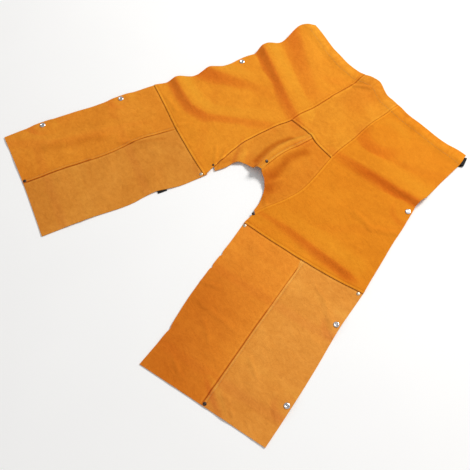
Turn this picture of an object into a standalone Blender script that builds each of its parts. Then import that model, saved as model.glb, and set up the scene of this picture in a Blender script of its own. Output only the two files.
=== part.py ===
"""Split-leg welding apron in golden split cowhide, laid out flat with its front up.

Plan sizes are in millimetres. X runs from the middle of the legs towards the wearer's left, and Y
from the crotch towards the waist. When the meshes are made, DATUM_Y sets the apron's middle over
the origin and MM turns millimetres into metres. Z is the height over the surface it lies on.

Every panel follows one height field, lift(), which holds the folds and the low rises over the
straps underneath. A panel is a grid of plan points between its four edges, carried up on that
field and thickened along its normal.
"""

import math
from collections import namedtuple

import bmesh
import bpy
import numpy as np
from mathutils import Vector
from mathutils.bvhtree import BVHTree

MM = 0.001

# Cloth and webbing
LEATHER = 1.6
WEBBING = 1.4
WEBBING_WIDTH = 25.0
GAP = 0.3

# Waist casing: the top edge folded to the back, with the belt inside
CASING_DEPTH = 30.0
BELT_EDGE = 3.0
CASING_RISE = LEATHER + GAP + WEBBING + GAP
CASING_RUNOUT = 14.0
CASING_BEND_STEPS = 4

# Snaps and rivets
SNAP_RADIUS = 7.5
SNAP_HEIGHT = 2.6
SNAP_STEPS = 16
SOCKET_RADIUS = 6.0
SOCKET_HEIGHT = 2.0
SOCKET_RIM = 1.5
SOCKET_SIDE = 1.2
RIVET_RADIUS = 4.6
SMALL_RIVET_RADIUS = 3.2
RIVET_HEIGHT = 1.8
ROUND_STEPS = 12

# Where a round piece's foot is set against the leather, as shares of its radius
FOOT_RINGS = (0, 0.25, 0.5, 0.75, 1, 1.1)
FOOT_STEPS = 24

# A snap cap's section and a rivet head's: how far in from the rim, and how high
Ring = namedtuple("Ring", "inset height")
SNAP_PROFILE = (
    Ring(0, 0),
    Ring(0, 0.9),
    Ring(1.2, SNAP_HEIGHT - 0.3),
    Ring(2.8, SNAP_HEIGHT),
    Ring(4.3, SNAP_HEIGHT - 0.9),
)
SNAP_DIMPLE = 1.4
RIVET_PROFILE = (
    Ring(0, 0),
    Ring(0.55, RIVET_HEIGHT * 0.6),
    Ring(2.5, RIVET_HEIGHT),
)

# The apron's lowest and highest points in Y, measured from the crotch
HEM_END_Y = -588.0
WAIST_END_Y = 438.9
DATUM_Y = -(HEM_END_Y + WAIST_END_Y) / 2

Point = namedtuple("Point", "x y")

# Edges and seams, each from the waist down or from the wearer's right to left
WAIST_RIGHT = (
    Point(-283, 436),
    Point(-255, 433),
    Point(-209, 423),
    Point(-163, 413),
    Point(-109, 406),
    Point(-75, 410),
    Point(-53, 414),
)
WAIST_CENTRE = (
    Point(-53, 414),
    Point(-20, 414),
    Point(2, 413),
    Point(27, 407),
    Point(53, 409),
    Point(83, 408),
)
WAIST_LEFT = (
    Point(83, 408),
    Point(114, 405),
    Point(184, 406),
    Point(265, 410),
    Point(300, 417),
    Point(319, 418),
)
CENTRE_SEAM_RIGHT = (
    Point(-53, 414),
    Point(-50, 370),
    Point(-59, 300),
    Point(-65, 225),
    Point(-72, 149),
)
CENTRE_SEAM_LEFT = (
    Point(83, 408),
    Point(81, 345),
    Point(82, 280),
    Point(85, 210),
    Point(88, 144),
)
GUSSET_TOP = (
    Point(-72, 149),
    Point(-42, 151),
    Point(-18, 152),
    Point(12, 147),
    Point(45, 145),
    Point(88, 144),
)
GUSSET_ARC_RIGHT = (
    Point(-72, 149),
    Point(-86, 100),
    Point(-96, 50),
    Point(-101, 0),
    Point(-100, -50),
    Point(-95, -90),
    Point(-93, -114),
)
GUSSET_ARC_LEFT = (
    Point(88, 144),
    Point(99, 90),
    Point(107, 50),
    Point(111, 5),
    Point(107, -30),
    Point(97, -70),
    Point(84, -124),
)
GUSSET_CENTRE = (
    Point(12, 147),
    Point(5, 106),
    Point(-1, 73),
    Point(-2, 38),
    Point(0, 0),
    Point(2, -31),
)
CROTCH_EDGE_RIGHT = (
    Point(2, -31),
    Point(-28, -43),
    Point(-52, -49),
    Point(-66, -57),
    Point(-67, -73),
    Point(-71, -90),
    Point(-75, -105),
    Point(-81, -120),
)
CROTCH_EDGE_LEFT = (
    Point(2, -31),
    Point(17, -37),
    Point(41, -54),
    Point(58, -76),
    Point(69, -96),
    Point(77, -122),
)
INNER_THIGH_RIGHT = (
    Point(-93, -114),
    Point(-90, -131),
    Point(-88, -151),
)
INNER_THIGH_LEFT = (
    Point(84, -124),
    Point(86, -144),
    Point(88, -164),
)
OUTER_THIGH_RIGHT = (
    Point(-283, 436),
    Point(-305, 402),
    Point(-306, 366),
    Point(-304, 330),
    Point(-317, 283),
    Point(-322, 262),
    Point(-321, 229),
    Point(-331, 190),
    Point(-334, 155),
    Point(-339, 120),
    Point(-359, 89),
    Point(-366, 57),
    Point(-379, 27),
    Point(-394, -4),
    Point(-401, -27),
    Point(-420, -64),
)
OUTER_THIGH_LEFT = (
    Point(319, 418),
    Point(326, 390),
    Point(328, 371),
    Point(330, 337),
    Point(332, 306),
    Point(337, 262),
    Point(341, 226),
    Point(338, 206),
    Point(345, 182),
    Point(360, 132),
    Point(375, 76),
    Point(392, 21),
    Point(409, -35),
    Point(422, -76),
)
KNEE_RIGHT = (
    Point(-420, -64),
    Point(-340, -87),
    Point(-258, -112),
    Point(-172, -133),
    Point(-88, -151),
)
KNEE_LEFT = (
    Point(422, -76),
    Point(345, -102),
    Point(263, -125),
    Point(175, -146),
    Point(88, -164),
)
SHIN_OUTER_EDGE_RIGHT = (
    Point(-420, -64),
    Point(-449, -165),
    Point(-481, -281),
    Point(-513, -382),
    Point(-538, -486),
)
SHIN_OUTER_EDGE_LEFT = (
    Point(422, -76),
    Point(448, -181),
    Point(485, -300),
    Point(513, -397),
    Point(538, -494),
)
SHIN_SEAM_RIGHT = (
    Point(-258, -112),
    Point(-292, -208),
    Point(-312, -310),
    Point(-343, -405),
    Point(-378, -527),
)
SHIN_SEAM_LEFT = (
    Point(263, -125),
    Point(291, -226),
    Point(318, -330),
    Point(347, -432),
    Point(377, -540),
)
SHIN_INNER_EDGE_RIGHT = (
    Point(-88, -151),
    Point(-108, -227),
    Point(-134, -285),
    Point(-143, -346),
    Point(-176, -449),
    Point(-187, -486),
    Point(-212, -576),
)
SHIN_INNER_EDGE_LEFT = (
    Point(88, -164),
    Point(114, -250),
    Point(135, -329),
    Point(168, -431),
    Point(189, -484),
    Point(213, -588),
)

# Grid lines down the thighs, as shares of the way from the outer edge to the inner one, and their
# counts elsewhere. The share 0.5 meets the seam between the two shin panels.
THIGH_COLUMNS = (0, 0.06, 0.15, 0.24, 0.33, 0.415, 0.5, 0.585, 0.67, 0.75, 0.83, 0.91, 1)
SHIN_SEAM_COLUMN = THIGH_COLUMNS.index(0.5)
CENTRE_HALF_COLUMNS = 5
CASING_ROWS = (0, BELT_EDGE, 15, CASING_DEPTH - BELT_EDGE, CASING_DEPTH, 37, CASING_DEPTH + CASING_RUNOUT)
CASING_ROWS_LEFT_END = (0, 8, 20.5, 33, 36, 43, 50)
BELT_ROWS = slice(1, 4)
CENTRE_ROWS = 11
ARC_ROWS = 13
SEAM_SHARE_OF_ARC = 8
INNER_THIGH_ROWS = 2

# Straps behind each leg: their distances from the knee down the shin's outer edge and its inner
# edge, and how far each sticks out past them
Strap = namedtuple("Strap", "name side outer_mm inner_mm tip loop")
SHIN_STRAPS = (
    Strap("knee_right", "right", 104, 119, -3, 6),
    Strap("shin_right", "right", 331, 349, -3, -3),
    Strap("knee_left", "left", 106, 108, -1, -3),
    Strap("shin_left", "left", 332, 337, -1, -3),
)
SNAP_INSET = 11.0
TIP_CORNER = 5.0
STRAP_FLAT = WEBBING_WIDTH / 2 + 9
STRAP_SIDE_ROW = WEBBING_WIDTH / 2 + 2
STRAP_FADE = 30.0
SHIN_ROWS_BETWEEN = (2, 5, 3)
STRAP_TIP = 6.0
STRAP_STEPS = 6
SNAP_FLAT = 19.0
SNAP_FADE = 28.0

# Folds: each crest's path, its height at both ends, how far it takes to die out on the left and on
# the right of the path, and how sharp its crest is on the right, from 0 to 1
Fold = namedtuple("Fold", "name path height0 height1 left_side right_side sharp")
FOLDS = (
    Fold(
        "hip top",
        (Point(-316, 398), Point(-254, 363), Point(-203, 332), Point(-110, 283)),
        19,
        5,
        96,
        62,
        0.4,
    ),
    Fold(
        "hip middle",
        (Point(-322, 265), Point(-272, 247), Point(-133, 193), Point(-66, 170)),
        18,
        8,
        58,
        40,
        0.9,
    ),
    Fold(
        "hip low",
        (Point(-362, 90), Point(-321, 110), Point(-273, 137), Point(-210, 176)),
        18,
        3,
        62,
        50,
        0.6,
    ),
    Fold(
        "right above the knee",
        (
            Point(-396, -4),
            Point(-338, -20),
            Point(-287, -29),
            Point(-237, -16),
            Point(-181, 32),
            Point(-115, 90),
        ),
        14,
        5,
        50,
        34,
        0.8,
    ),
    Fold("crotch pucker", (Point(-60, -58), Point(-96, -4)), 8, 3, 24, 24, 0),
    Fold(
        "left hip",
        (Point(94, 174), Point(208, 195), Point(271, 203), Point(344, 217)),
        4,
        16,
        70,
        36,
        1,
    ),
    Fold(
        "left above the knee",
        (Point(110, -104), Point(175, -86), Point(262, -76), Point(350, -64)),
        4,
        10,
        60,
        29,
        0.9,
    ),
    Fold(
        "right shin",
        (Point(-505, -462), Point(-437, -379), Point(-406, -295), Point(-340, -165)),
        3,
        3,
        34,
        34,
        0.7,
    ),
    Fold("right shin edge", (Point(-516, -380), Point(-492, -290)), 2, 4, 40, 34, 0),
    Fold("left shin crease", (Point(372, -500), Point(440, -526)), 3, 1, 16, 16, 0),
    Fold(
        "gusset ridge",
        (Point(-5, -40), Point(-16, 17), Point(-20, 51), Point(-15, 91), Point(0, 133)),
        26,
        10,
        20,
        34,
        0.5,
    ),
)
FOLD_FADE = 60.0

# How folds join, how low a rise counts as flat, and the step for slopes
BLEND = 4
FLAT_BELOW = 0.02
SLOPE_STEP = 0.5
SPAN_STEPS = 16
CREST_ROUND = 0.16

# The crease down the middle, from folding the apron in half: its height and its half widths
Crease = namedtuple("Crease", "y height right_side left_side")
CREASE_X = 3.0
CREASE = (
    Crease(440, 24, 80, 50),
    Crease(400, 22, 78, 50),
    Crease(345, 15, 74, 48),
    Crease(290, 9, 70, 46),
    Crease(210, 8, 62, 46),
    Crease(151, 6, 54, 46),
    Crease(100, 2, 44, 40),
    Crease(50, 0, 40, 36),
)

# The gusset's fullness stands up as a low dome
DOME_X = 3.0
DOME_Y = -2.0
DOME_HEIGHT = 16.0
DOME_HALF_WIDTH = 96.0
DOME_TO_WAIST = 150.0
DOME_TO_LEGS = 105.0

# The belt's two ends are folded under the apron. fold_top to fold_foot is the fold, via and end set
# the curve of the tail on the floor
BeltEnd = namedtuple("BeltEnd", "fold_top fold_foot via end")
BELT_END_RIGHT = BeltEnd(Point(-279.5, 433), Point(-290, 410.5), Point(-215, 396), Point(-150, 368))
BELT_END_LEFT = BeltEnd(Point(324.5, 414.5), Point(334.5, 388.5), Point(268, 319), Point(150, 300))
BACK_TRIM = 0.78
TAIL_CLEARANCE = 4.0
TAIL_CLEAR_FROM = 25.0
TAIL_DROP = 70.0
TAIL_SECTIONS = 9
TURN_STEPS = 4

# The side-release buckle on the belt's ends
BUCKLE_WIDTH = 33.0
BUCKLE_SOCKET_LENGTH = 34.0
BUCKLE_SOCKET_HEIGHT = 9.0
BUCKLE_BAR_LENGTH = 14.0
BUCKLE_PLUG_LENGTH = 38.0
BUCKLE_PLUG_HEIGHT = 6.0
BUCKLE_FLAT = 28.0
BUCKLE_FADE = 50.0
BUCKLE_CORNER = 4.0
PRONG_OUTER_INSET = 3.0
PRONG_INNER_INSET = 9.0
BUCKLE_WALL = 2.5
BUCKLE_END_INSET = 8.0
CUT_PLAY = 0.5
CUT_PAST = 5.0
WEBBING_TUCK = 8.0

THIGH_STRAP_FLAT = 34.0
THIGH_STRAP_FADE = 34.0
THIGH_STRAP_STEPS = 15
THIGH_SNAP_FLAT = 28.0
THIGH_SNAP_FADE = 30.0
THIGH_SNAP_REACH = 80.0
THIGH_SNAP_EASE = 55.0

# Thigh straps: where they are sewn in, a point that sets their curve, and their snap
ThighStrap = namedtuple("ThighStrap", "name sewn via snap tip")
THIGH_STRAPS = (
    ThighStrap("thigh_right", Point(-101, -104), Point(-215, 48), Point(-320, 180), -4),
    ThighStrap("thigh_left", Point(92, -112), Point(216, 36), Point(337, 172), -4),
)

Rivet = namedtuple("Rivet", "name x y radius colour")
BRIGHT = (0.72, 0.62, 0.48)
DARK = (0.06, 0.04, 0.035)
RIVETS = (
    Rivet("rivet_gusset_right", -97, -113, SMALL_RIVET_RADIUS, DARK),
    Rivet("rivet_gusset_left", 85, -131, RIVET_RADIUS, DARK),
    Rivet("rivet_knee_right", -97, -155, RIVET_RADIUS, BRIGHT),
    Rivet("rivet_knee_left", 95, -169, RIVET_RADIUS, BRIGHT),
    Rivet("rivet_knee_outer_left", 414, -85, RIVET_RADIUS, BRIGHT),
    Rivet("rivet_hem_right", -381, -520, RIVET_RADIUS, DARK),
    Rivet("rivet_hem_left", 380, -533, RIVET_RADIUS, DARK),
    Rivet("rivet_crotch", -5, -6, RIVET_RADIUS, DARK),
)

LEATHER_PIECES = ("thigh", "centre", "gusset", "shin")
GOLDEN = (0.83, 0.33, 0.035)
BLACK = (0.012, 0.012, 0.013)
STEEL = (0.62, 0.62, 0.64)


def array(points):
    return np.array([tuple(point)[:2] for point in points], float)


def spline(knots, values, at):
    """A cubic through the rows of a table, with each row's slope taken from its neighbours."""
    knots = np.asarray(knots, float)
    values = np.asarray(values, float)
    slopes = np.gradient(values, knots, axis=0)
    at = np.clip(at, knots[0], knots[-1])
    cell = np.clip(np.searchsorted(knots, at) - 1, 0, len(knots) - 2)
    width = knots[cell + 1] - knots[cell]
    t = (at - knots[cell]) / width
    if values.ndim == 2:
        t = t[..., None]
        width = width[..., None]
    start = (1 + 2 * t) * (1 - t) ** 2 * values[cell] + t * (1 - t) ** 2 * width * slopes[cell]
    end = t**2 * (3 - 2 * t) * values[cell + 1] + t**2 * (t - 1) * width * slopes[cell + 1]
    return start + end


def lengths_along(points):
    steps = np.linalg.norm(np.diff(points, axis=0), axis=1)
    return np.concatenate([[0], np.cumsum(steps)])


def dense(points):
    """A smooth edge through a table's points, closely spaced."""
    points = array(points)
    knots = lengths_along(points)
    return spline(knots, points, np.linspace(0, knots[-1], SPAN_STEPS * (len(points) - 1) + 1))


def at_distances(curve, distances):
    lengths = lengths_along(curve)
    return np.stack([np.interp(distances, lengths, curve[:, axis]) for axis in (0, 1)], axis=1)


def at_shares(curve, shares):
    return at_distances(curve, np.asarray(shares) * lengths_along(curve)[-1])


def smooth(t):
    t = np.clip(t, 0, 1)
    return t * t * (3 - 2 * t)


def hump(distance, width):
    """One at zero distance, none at the width, level at both."""
    return 0.5 + 0.5 * np.cos(math.pi * np.clip(np.abs(distance) / width, 0, 1))


def unit(vector):
    return vector / np.linalg.norm(vector, axis=-1, keepdims=True)


def place_by_path(path, x, y):
    """How far along a path a point lies, how far past its ends, and how far off to its left."""
    lengths = lengths_along(path)
    nearest = np.full(np.shape(x), np.inf)
    run = np.zeros(np.shape(x))
    past = np.zeros(np.shape(x))
    left = np.zeros(np.shape(x))
    last = len(path) - 2
    for i, (start, end) in enumerate(zip(path[:-1], path[1:])):
        along = unit(end - start)
        length = lengths[i + 1] - lengths[i]
        ahead = (x - start[0]) * along[0] + (y - start[1]) * along[1]
        side = (y - start[1]) * along[0] - (x - start[0]) * along[1]
        held = np.clip(ahead, 0, length)
        beyond = np.where(i == 0, np.maximum(-ahead, 0), 0)
        beyond = beyond + np.where(i == last, np.maximum(ahead - length, 0), 0)
        gap = np.abs(ahead - held) - beyond
        away = np.hypot(gap, side)
        closer = np.hypot(away, beyond) < nearest
        nearest = np.where(closer, np.hypot(away, beyond), nearest)
        run = np.where(closer, lengths[i] + held, run)
        past = np.where(closer, beyond, past)
        left = np.where(closer, np.copysign(away, side), left)
    return run / lengths[-1], past, left


def crest(distance, width):
    """One at zero distance and none at the width, falling steeply from a narrow crest."""
    share = np.clip(np.abs(distance) / width, 0, 1)
    eased = (np.sqrt(share**2 + CREST_ROUND**2) - CREST_ROUND) / (math.hypot(1, CREST_ROUND) - CREST_ROUND)
    return (1 - eased) ** 2


def fold_height(fold, x, y):
    share, past, left = place_by_path(array(fold.path), x, y)
    height = fold.height0 + (fold.height1 - fold.height0) * share
    soft = hump(left, np.where(left > 0, fold.left_side, fold.right_side))
    right = soft + (crest(left, fold.right_side) - soft) * fold.sharp
    return height * np.where(left > 0, soft, right) * hump(past, FOLD_FADE)


def crease_height(x, y):
    rows = CREASE[::-1]
    knots = [row.y for row in rows]
    height = spline(knots, [row.height for row in rows], y)
    right_side = spline(knots, [row.right_side for row in rows], y)
    left_side = spline(knots, [row.left_side for row in rows], y)
    off = x - CREASE_X
    width = np.where(off > 0, left_side, right_side)
    past = np.maximum(rows[0].y - y, 0)
    return height * hump(off, width) * hump(past, FOLD_FADE)


def dome_height(x, y):
    off_y = y - DOME_Y
    length = np.where(off_y > 0, DOME_TO_WAIST, DOME_TO_LEGS)
    return DOME_HEIGHT * hump(np.hypot((x - DOME_X) / DOME_HALF_WIDTH, off_y / length), 1)


def distance_to_path(path, x, y):
    nearest = np.full(np.shape(x), np.inf)
    for start, end in zip(path[:-1], path[1:]):
        along = end - start
        share = ((x - start[0]) * along[0] + (y - start[1]) * along[1]) / (along @ along)
        share = np.clip(share, 0, 1)
        off = np.hypot(x - start[0] - share * along[0], y - start[1] - share * along[1])
        nearest = np.minimum(nearest, off)
    return nearest


def plateau(distance, flat, fade):
    return smooth((flat + fade - distance) / fade)


Rise = namedtuple("Rise", "path height flat fade")


def lift(x, y):
    """Height of the leather's underside at rest, in millimetres."""
    x = np.asarray(x, float)
    y = np.asarray(y, float)
    heights = [fold_height(fold, x, y) for fold in FOLDS]
    heights.append(crease_height(x, y))
    heights.append(dome_height(x, y))
    for rise in RISES:
        heights.append(rise.height * plateau(distance_to_path(rise.path, x, y), rise.flat, rise.fade))
    total = sum(height**BLEND for height in heights) ** (1 / BLEND)
    return np.where(total < FLAT_BELOW, 0, total)


def on_field(points, offset):
    """Plan points carried up on the height field, then moved out along its normal by offset."""
    x = points[..., 0]
    y = points[..., 1]
    slope_x = (lift(x + SLOPE_STEP, y) - lift(x - SLOPE_STEP, y)) / (2 * SLOPE_STEP)
    slope_y = (lift(x, y + SLOPE_STEP) - lift(x, y - SLOPE_STEP)) / (2 * SLOPE_STEP)
    normal = unit(np.stack([-slope_x, -slope_y, np.ones_like(x)], axis=-1))
    base = np.stack([x, y, lift(x, y)], axis=-1)
    return base + normal * np.asarray(offset, float)[..., None], normal


def material(name, colour, roughness, metallic=0.0):
    made = bpy.data.materials.get(name) or bpy.data.materials.new(name)
    made.use_nodes = True
    shader = made.node_tree.nodes["Principled BSDF"]
    shader.inputs["Base Color"].default_value = (*colour, 1)
    shader.inputs["Roughness"].default_value = roughness
    shader.inputs["Metallic"].default_value = metallic
    return made


def add_object(name, mesh, finish):
    mesh.materials.append(finish)
    made = bpy.data.objects.new(name, mesh)
    bpy.context.collection.objects.link(made)
    return made


def to_metres(points):
    return (np.asarray(points, float) + [0, DATUM_Y, 0]) * MM


def sheet(name, front, back, finish):
    """A closed solid between two grids of points: its front skin, its back skin and its four edges."""
    rows, columns = front.shape[:2]
    points = to_metres(np.concatenate([front.reshape(-1, 3), back.reshape(-1, 3)]))
    count = rows * columns
    faces = []

    def corner(row, column, skin):
        return skin * count + row * columns + column

    def slants_up(a, b):
        run = points[b][:2] - points[a][:2]
        return run[0] * run[1] / max(run @ run, 1e-12)

    for row in range(rows - 1):
        for column in range(columns - 1):
            cell = ((row, column), (row, column + 1), (row + 1, column + 1), (row + 1, column))
            a, b, c, d = (corner(*place, 0) for place in cell)
            halves = ((0, 1, 2), (0, 2, 3)) if slants_up(a, c) > slants_up(b, d) else ((0, 1, 3), (1, 2, 3))
            for half in halves:
                faces.append([corner(*cell[i], 0) for i in half])
                faces.append([corner(*cell[i], 1) for i in reversed(half)])
    ring = [(0, column) for column in range(columns - 1)]
    ring += [(row, columns - 1) for row in range(rows - 1)]
    ring += [(rows - 1, column) for column in range(columns - 1, 0, -1)]
    ring += [(row, 0) for row in range(rows - 1, 0, -1)]
    for here, after in zip(ring, ring[1:] + ring[:1]):
        faces.append([corner(*here, 0), corner(*here, 1), corner(*after, 1), corner(*after, 0)])
    mesh = bpy.data.meshes.new(name)
    mesh.from_pydata([tuple(point) for point in points], [], faces)
    build = bmesh.new()
    build.from_mesh(mesh)
    bmesh.ops.recalc_face_normals(build, faces=build.faces)
    build.to_mesh(mesh)
    build.free()
    mesh.shade_smooth()
    mesh.set_sharp_from_angle(angle=math.radians(50))
    return add_object(name, mesh, finish)


def opened(curve, inside):
    """An edge moved by half the seam gap towards a panel's inside points."""
    along = unit(np.gradient(curve, axis=0))
    across = np.stack([-along[:, 1], along[:, 0]], axis=1)
    side = np.sign(np.sum(across * (inside - curve), axis=1, keepdims=True))
    return curve + across * side * GAP / 2


def open_seams(grid, first_row=False, last_row=False, first_column=False, last_column=0):
    """Moves a panel's sewn edges in by half the seam gap. last_column counts its sewn points."""
    moved = grid.copy()
    if first_row:
        moved[0] += opened(grid[0], grid[1]) - grid[0]
    if last_row:
        moved[-1] += opened(grid[-1], grid[-2]) - grid[-1]
    if first_column:
        moved[:, 0] += opened(grid[:, 0], grid[:, 1]) - grid[:, 0]
    if last_column:
        shift = opened(grid[:, -1], grid[:, -2]) - grid[:, -1]
        moved[:last_column, -1] += shift[:last_column]
    return moved


def patch(first, last, top, bottom, wave=0):
    """A grid between four edges. first and last are its side columns, top and bottom its end rows."""
    rows = len(first)
    columns = len(top)
    down = lengths_along(last)
    down = (down / down[-1])[:, None, None]
    across = lengths_along(top)
    across = (across / across[-1])[None, :, None]
    chord = first[0] + (first[-1] - first[0]) * down[:, 0]
    sides = (1 - across) * chord[:, None] + across * last[:, None]
    sides = sides + (1 - across) ** (1 + wave) * (first - chord)[:, None]
    ends = (1 - down) * (top - (1 - across[0]) * top[0] - across[0] * top[-1])[None]
    ends = ends + down * (bottom - (1 - across[0]) * bottom[0] - across[0] * bottom[-1])[None]
    grid = sides + ends
    assert grid.shape == (rows, columns, 2)
    return grid


def stations(seam_length, free_length):
    """Distances down a side: the casing's own rows, then even rows to the gusset."""
    casing = np.array(CASING_ROWS, float)
    return np.concatenate([casing, np.linspace(casing[-1], seam_length, CENTRE_ROWS + 1)[1:] + free_length])


def side_points(side):
    """The inner side of a thigh: down the centre seam, round the gusset and along the free edge."""
    centre, arc, free = side
    centre = dense(centre)
    arc = dense(arc)
    free = dense(free)
    rows = at_distances(centre, stations(lengths_along(centre)[-1], 0))
    arc_rows = at_shares(arc, np.linspace(0, 1, ARC_ROWS + 1)[1:])
    free_rows = at_shares(free, np.linspace(0, 1, INNER_THIGH_ROWS + 1)[1:])
    return np.concatenate([rows, arc_rows, free_rows])


def outer_points(edge, inner, casing_rows):
    """The outer side of a thigh: the casing's rows, then in step with the inner side."""
    edge = dense(edge)
    length = lengths_along(edge)[-1]
    down = lengths_along(inner)[len(casing_rows) - 1 :]
    start = casing_rows[-1]
    rest = start + (down - down[0]) * (length - start) / (down[-1] - down[0])
    return at_distances(edge, np.concatenate([casing_rows[:-1], rest]))


def thigh_grid(waist, sides, outer, knee, casing_rows):
    """Plan grid of a thigh panel, its first column the outer edge and its last the sewn one."""
    inner = side_points(sides)
    outer = outer_points(outer, inner, casing_rows)
    shares = np.array(THIGH_COLUMNS)
    top = at_shares(dense(waist), shares)
    bottom = at_shares(dense(knee), shares)
    return patch(outer, inner, top, bottom, wave=3)


def casing_offsets(rows):
    """How far the front wall stands off over the casing, row by row."""
    down = np.array(CASING_ROWS, float)
    rise = CASING_RISE * smooth((CASING_DEPTH + CASING_RUNOUT - down) / CASING_RUNOUT)
    offsets = np.zeros(rows)
    offsets[: len(down)] = rise
    return offsets


def cased_sheet(name, grid, finish, back_trim=0):
    """A top panel: its front wall from the bottom up, over the waist edge, and back down behind.

    back_trim cuts the back wall's outer end short, as a share of its first column of cells.
    """
    rows, columns = grid.shape[:2]
    offsets = np.repeat(casing_offsets(rows)[:, None], columns, axis=1)
    under, normal = on_field(grid, offsets)
    over = under + normal * LEATHER
    back_rows = CASING_ROWS.index(CASING_DEPTH) + 1
    behind = grid[:back_rows].copy()
    behind[1:, 0] += (behind[1:, 1] - behind[1:, 0]) * back_trim
    back_under, back_normal = on_field(behind, np.zeros((back_rows, columns)))
    back_over = back_under + back_normal * LEATHER
    radius = (CASING_RISE - LEATHER) / 2
    centre = (back_over[0] + under[0]) / 2
    outward = unit(over[0] - over[1])
    outward = unit(outward - normal[0] * np.sum(outward * normal[0], axis=1, keepdims=True))
    angles = np.linspace(math.pi / 2, -math.pi / 2, CASING_BEND_STEPS + 2)[1:-1]
    bend = [math.cos(a) * outward + math.sin(a) * normal[0] for a in angles]
    front = np.concatenate([over[::-1], [centre + step * (radius + LEATHER) for step in bend], back_under])
    back = np.concatenate([under[::-1], [centre + step * radius for step in bend], back_over])
    return sheet(name, front, back, finish)


def flat_sheet(name, grid, finish):
    under, normal = on_field(grid, np.zeros(grid.shape[:2]))
    return sheet(name, under + normal * LEATHER, under, finish)


def centre_grid():
    """Plan grid of the centre panel, from the right seam over the crease to the left seam."""
    right = at_distances(dense(CENTRE_SEAM_RIGHT), stations(lengths_along(dense(CENTRE_SEAM_RIGHT))[-1], 0))
    left = at_distances(dense(CENTRE_SEAM_LEFT), stations(lengths_along(dense(CENTRE_SEAM_LEFT))[-1], 0))
    return patch(right, left, halved(WAIST_CENTRE, CREASE_X), halved(GUSSET_TOP, GUSSET_CENTRE[0].x))


def halved(edge, middle):
    """Points along a cross edge, evenly spaced on each side of its middle."""
    curve = dense(edge)
    crease = float(np.interp(middle, curve[:, 0], lengths_along(curve)))
    right = np.linspace(0, crease, CENTRE_HALF_COLUMNS + 1)
    left = np.linspace(crease, lengths_along(curve)[-1], CENTRE_HALF_COLUMNS + 1)
    return at_distances(curve, np.concatenate([right, left[1:]]))


def gusset_grid(arc, crotch_edge, top):
    """Plan grid of half the gusset, from its arc to the centre seam and then the crotch edge."""
    outer = at_shares(dense(arc), np.linspace(0, 1, ARC_ROWS + 1))
    seam = at_shares(dense(GUSSET_CENTRE), np.linspace(0, 1, SEAM_SHARE_OF_ARC + 1))
    free_rows = ARC_ROWS - SEAM_SHARE_OF_ARC
    free = at_shares(dense(crotch_edge), np.linspace(0, 1, free_rows + 1)[1:])
    inner = np.concatenate([seam, free])
    end = outer[-1] + (inner[-1] - outer[-1]) * np.linspace(0, 1, len(top))[:, None]
    return patch(outer, inner, top, end)


def shin_rows(straps):
    """Distances down the two edges of a shin, with rows at each strap's sides."""
    outer = [0]
    inner = [0]
    marks = []
    for strap in straps:
        for off in (-STRAP_FLAT - STRAP_FADE, -STRAP_SIDE_ROW, STRAP_SIDE_ROW, STRAP_FLAT + STRAP_FADE):
            marks.append((strap.outer_mm + off, strap.inner_mm + off))
    runs = (marks[0], marks[4])
    for run, count, others in zip((0, 4), SHIN_ROWS_BETWEEN, (marks[:4], marks[4:])):
        first = runs[run // 4]
        outer += list(np.linspace(outer[-1], first[0], count + 1)[1:-1])
        inner += list(np.linspace(inner[-1], first[1], count + 1)[1:-1])
        outer += [mark[0] for mark in others]
        inner += [mark[1] for mark in others]
    return np.array(outer), np.array(inner)


def shin_grids(outer_edge, seam, inner_edge, knee, hem, straps):
    """Plan grids of a leg's outer and inner shin panels, both running from outer edge to inner."""
    outer_curve = dense(outer_edge)
    inner_curve = dense(inner_edge)
    outer_mm, inner_mm = shin_rows(straps)
    last = SHIN_ROWS_BETWEEN[2]
    outer_mm = np.append(outer_mm, np.linspace(outer_mm[-1], lengths_along(outer_curve)[-1], last + 1)[1:])
    inner_mm = np.append(inner_mm, np.linspace(inner_mm[-1], lengths_along(inner_curve)[-1], last + 1)[1:])
    outer_side = at_distances(outer_curve, outer_mm)
    inner_side = at_distances(inner_curve, inner_mm)
    seam_curve = dense(seam)
    seam_length = lengths_along(seam_curve)[-1]
    shares = (outer_mm / outer_mm[-1] + inner_mm / inner_mm[-1]) / 2
    seam_side = at_distances(seam_curve, shares * seam_length)
    columns = np.array(THIGH_COLUMNS)
    split = SHIN_SEAM_COLUMN
    top = at_shares(dense(knee), columns)
    bottom = at_shares(dense(hem), columns)
    seam_side[0] = top[split]
    seam_side[-1] = bottom[split]
    outer_grid = patch(outer_side, seam_side, top[: split + 1], bottom[: split + 1])
    inner_grid = patch(seam_side, inner_side, top[split:], bottom[split:])
    return outer_grid, inner_grid


def ribbon(name, path, across, heights, finish):
    """Webbing along a plan path, with its end corners cut and the height of its underside given."""
    half = np.full(len(path), WEBBING_WIDTH / 2)
    half[-1] -= TIP_CORNER
    lanes = np.array([-1.0, 0.0, 1.0])[None, :, None]
    plan = path[:, None] + across[:, None] * lanes * half[:, None, None]
    under = np.concatenate([plan, np.repeat(heights[:, None, None], 3, axis=1)], axis=2)
    return sheet(name, under + [0, 0, WEBBING], under, finish)


def turned(name, profile, segments, finish):
    """A round solid from a profile of (radius, height) points that starts and ends on its axis."""
    build = bmesh.new()
    verts = [build.verts.new((radius * MM, 0, height * MM)) for radius, height in profile]
    edges = [build.edges.new(pair) for pair in zip(verts[:-1], verts[1:])]
    bmesh.ops.spin(
        build,
        geom=verts + edges,
        cent=(0, 0, 0),
        axis=(0, 0, 1),
        angle=2 * math.pi,
        steps=segments,
        use_merge=True,
    )
    bmesh.ops.remove_doubles(build, verts=build.verts, dist=1e-6)
    bmesh.ops.recalc_face_normals(build, faces=build.faces)
    mesh = bpy.data.meshes.new(name)
    build.to_mesh(mesh)
    build.free()
    mesh.shade_smooth()
    mesh.set_sharp_from_angle(angle=math.radians(40))
    return add_object(name, mesh, finish)


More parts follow.
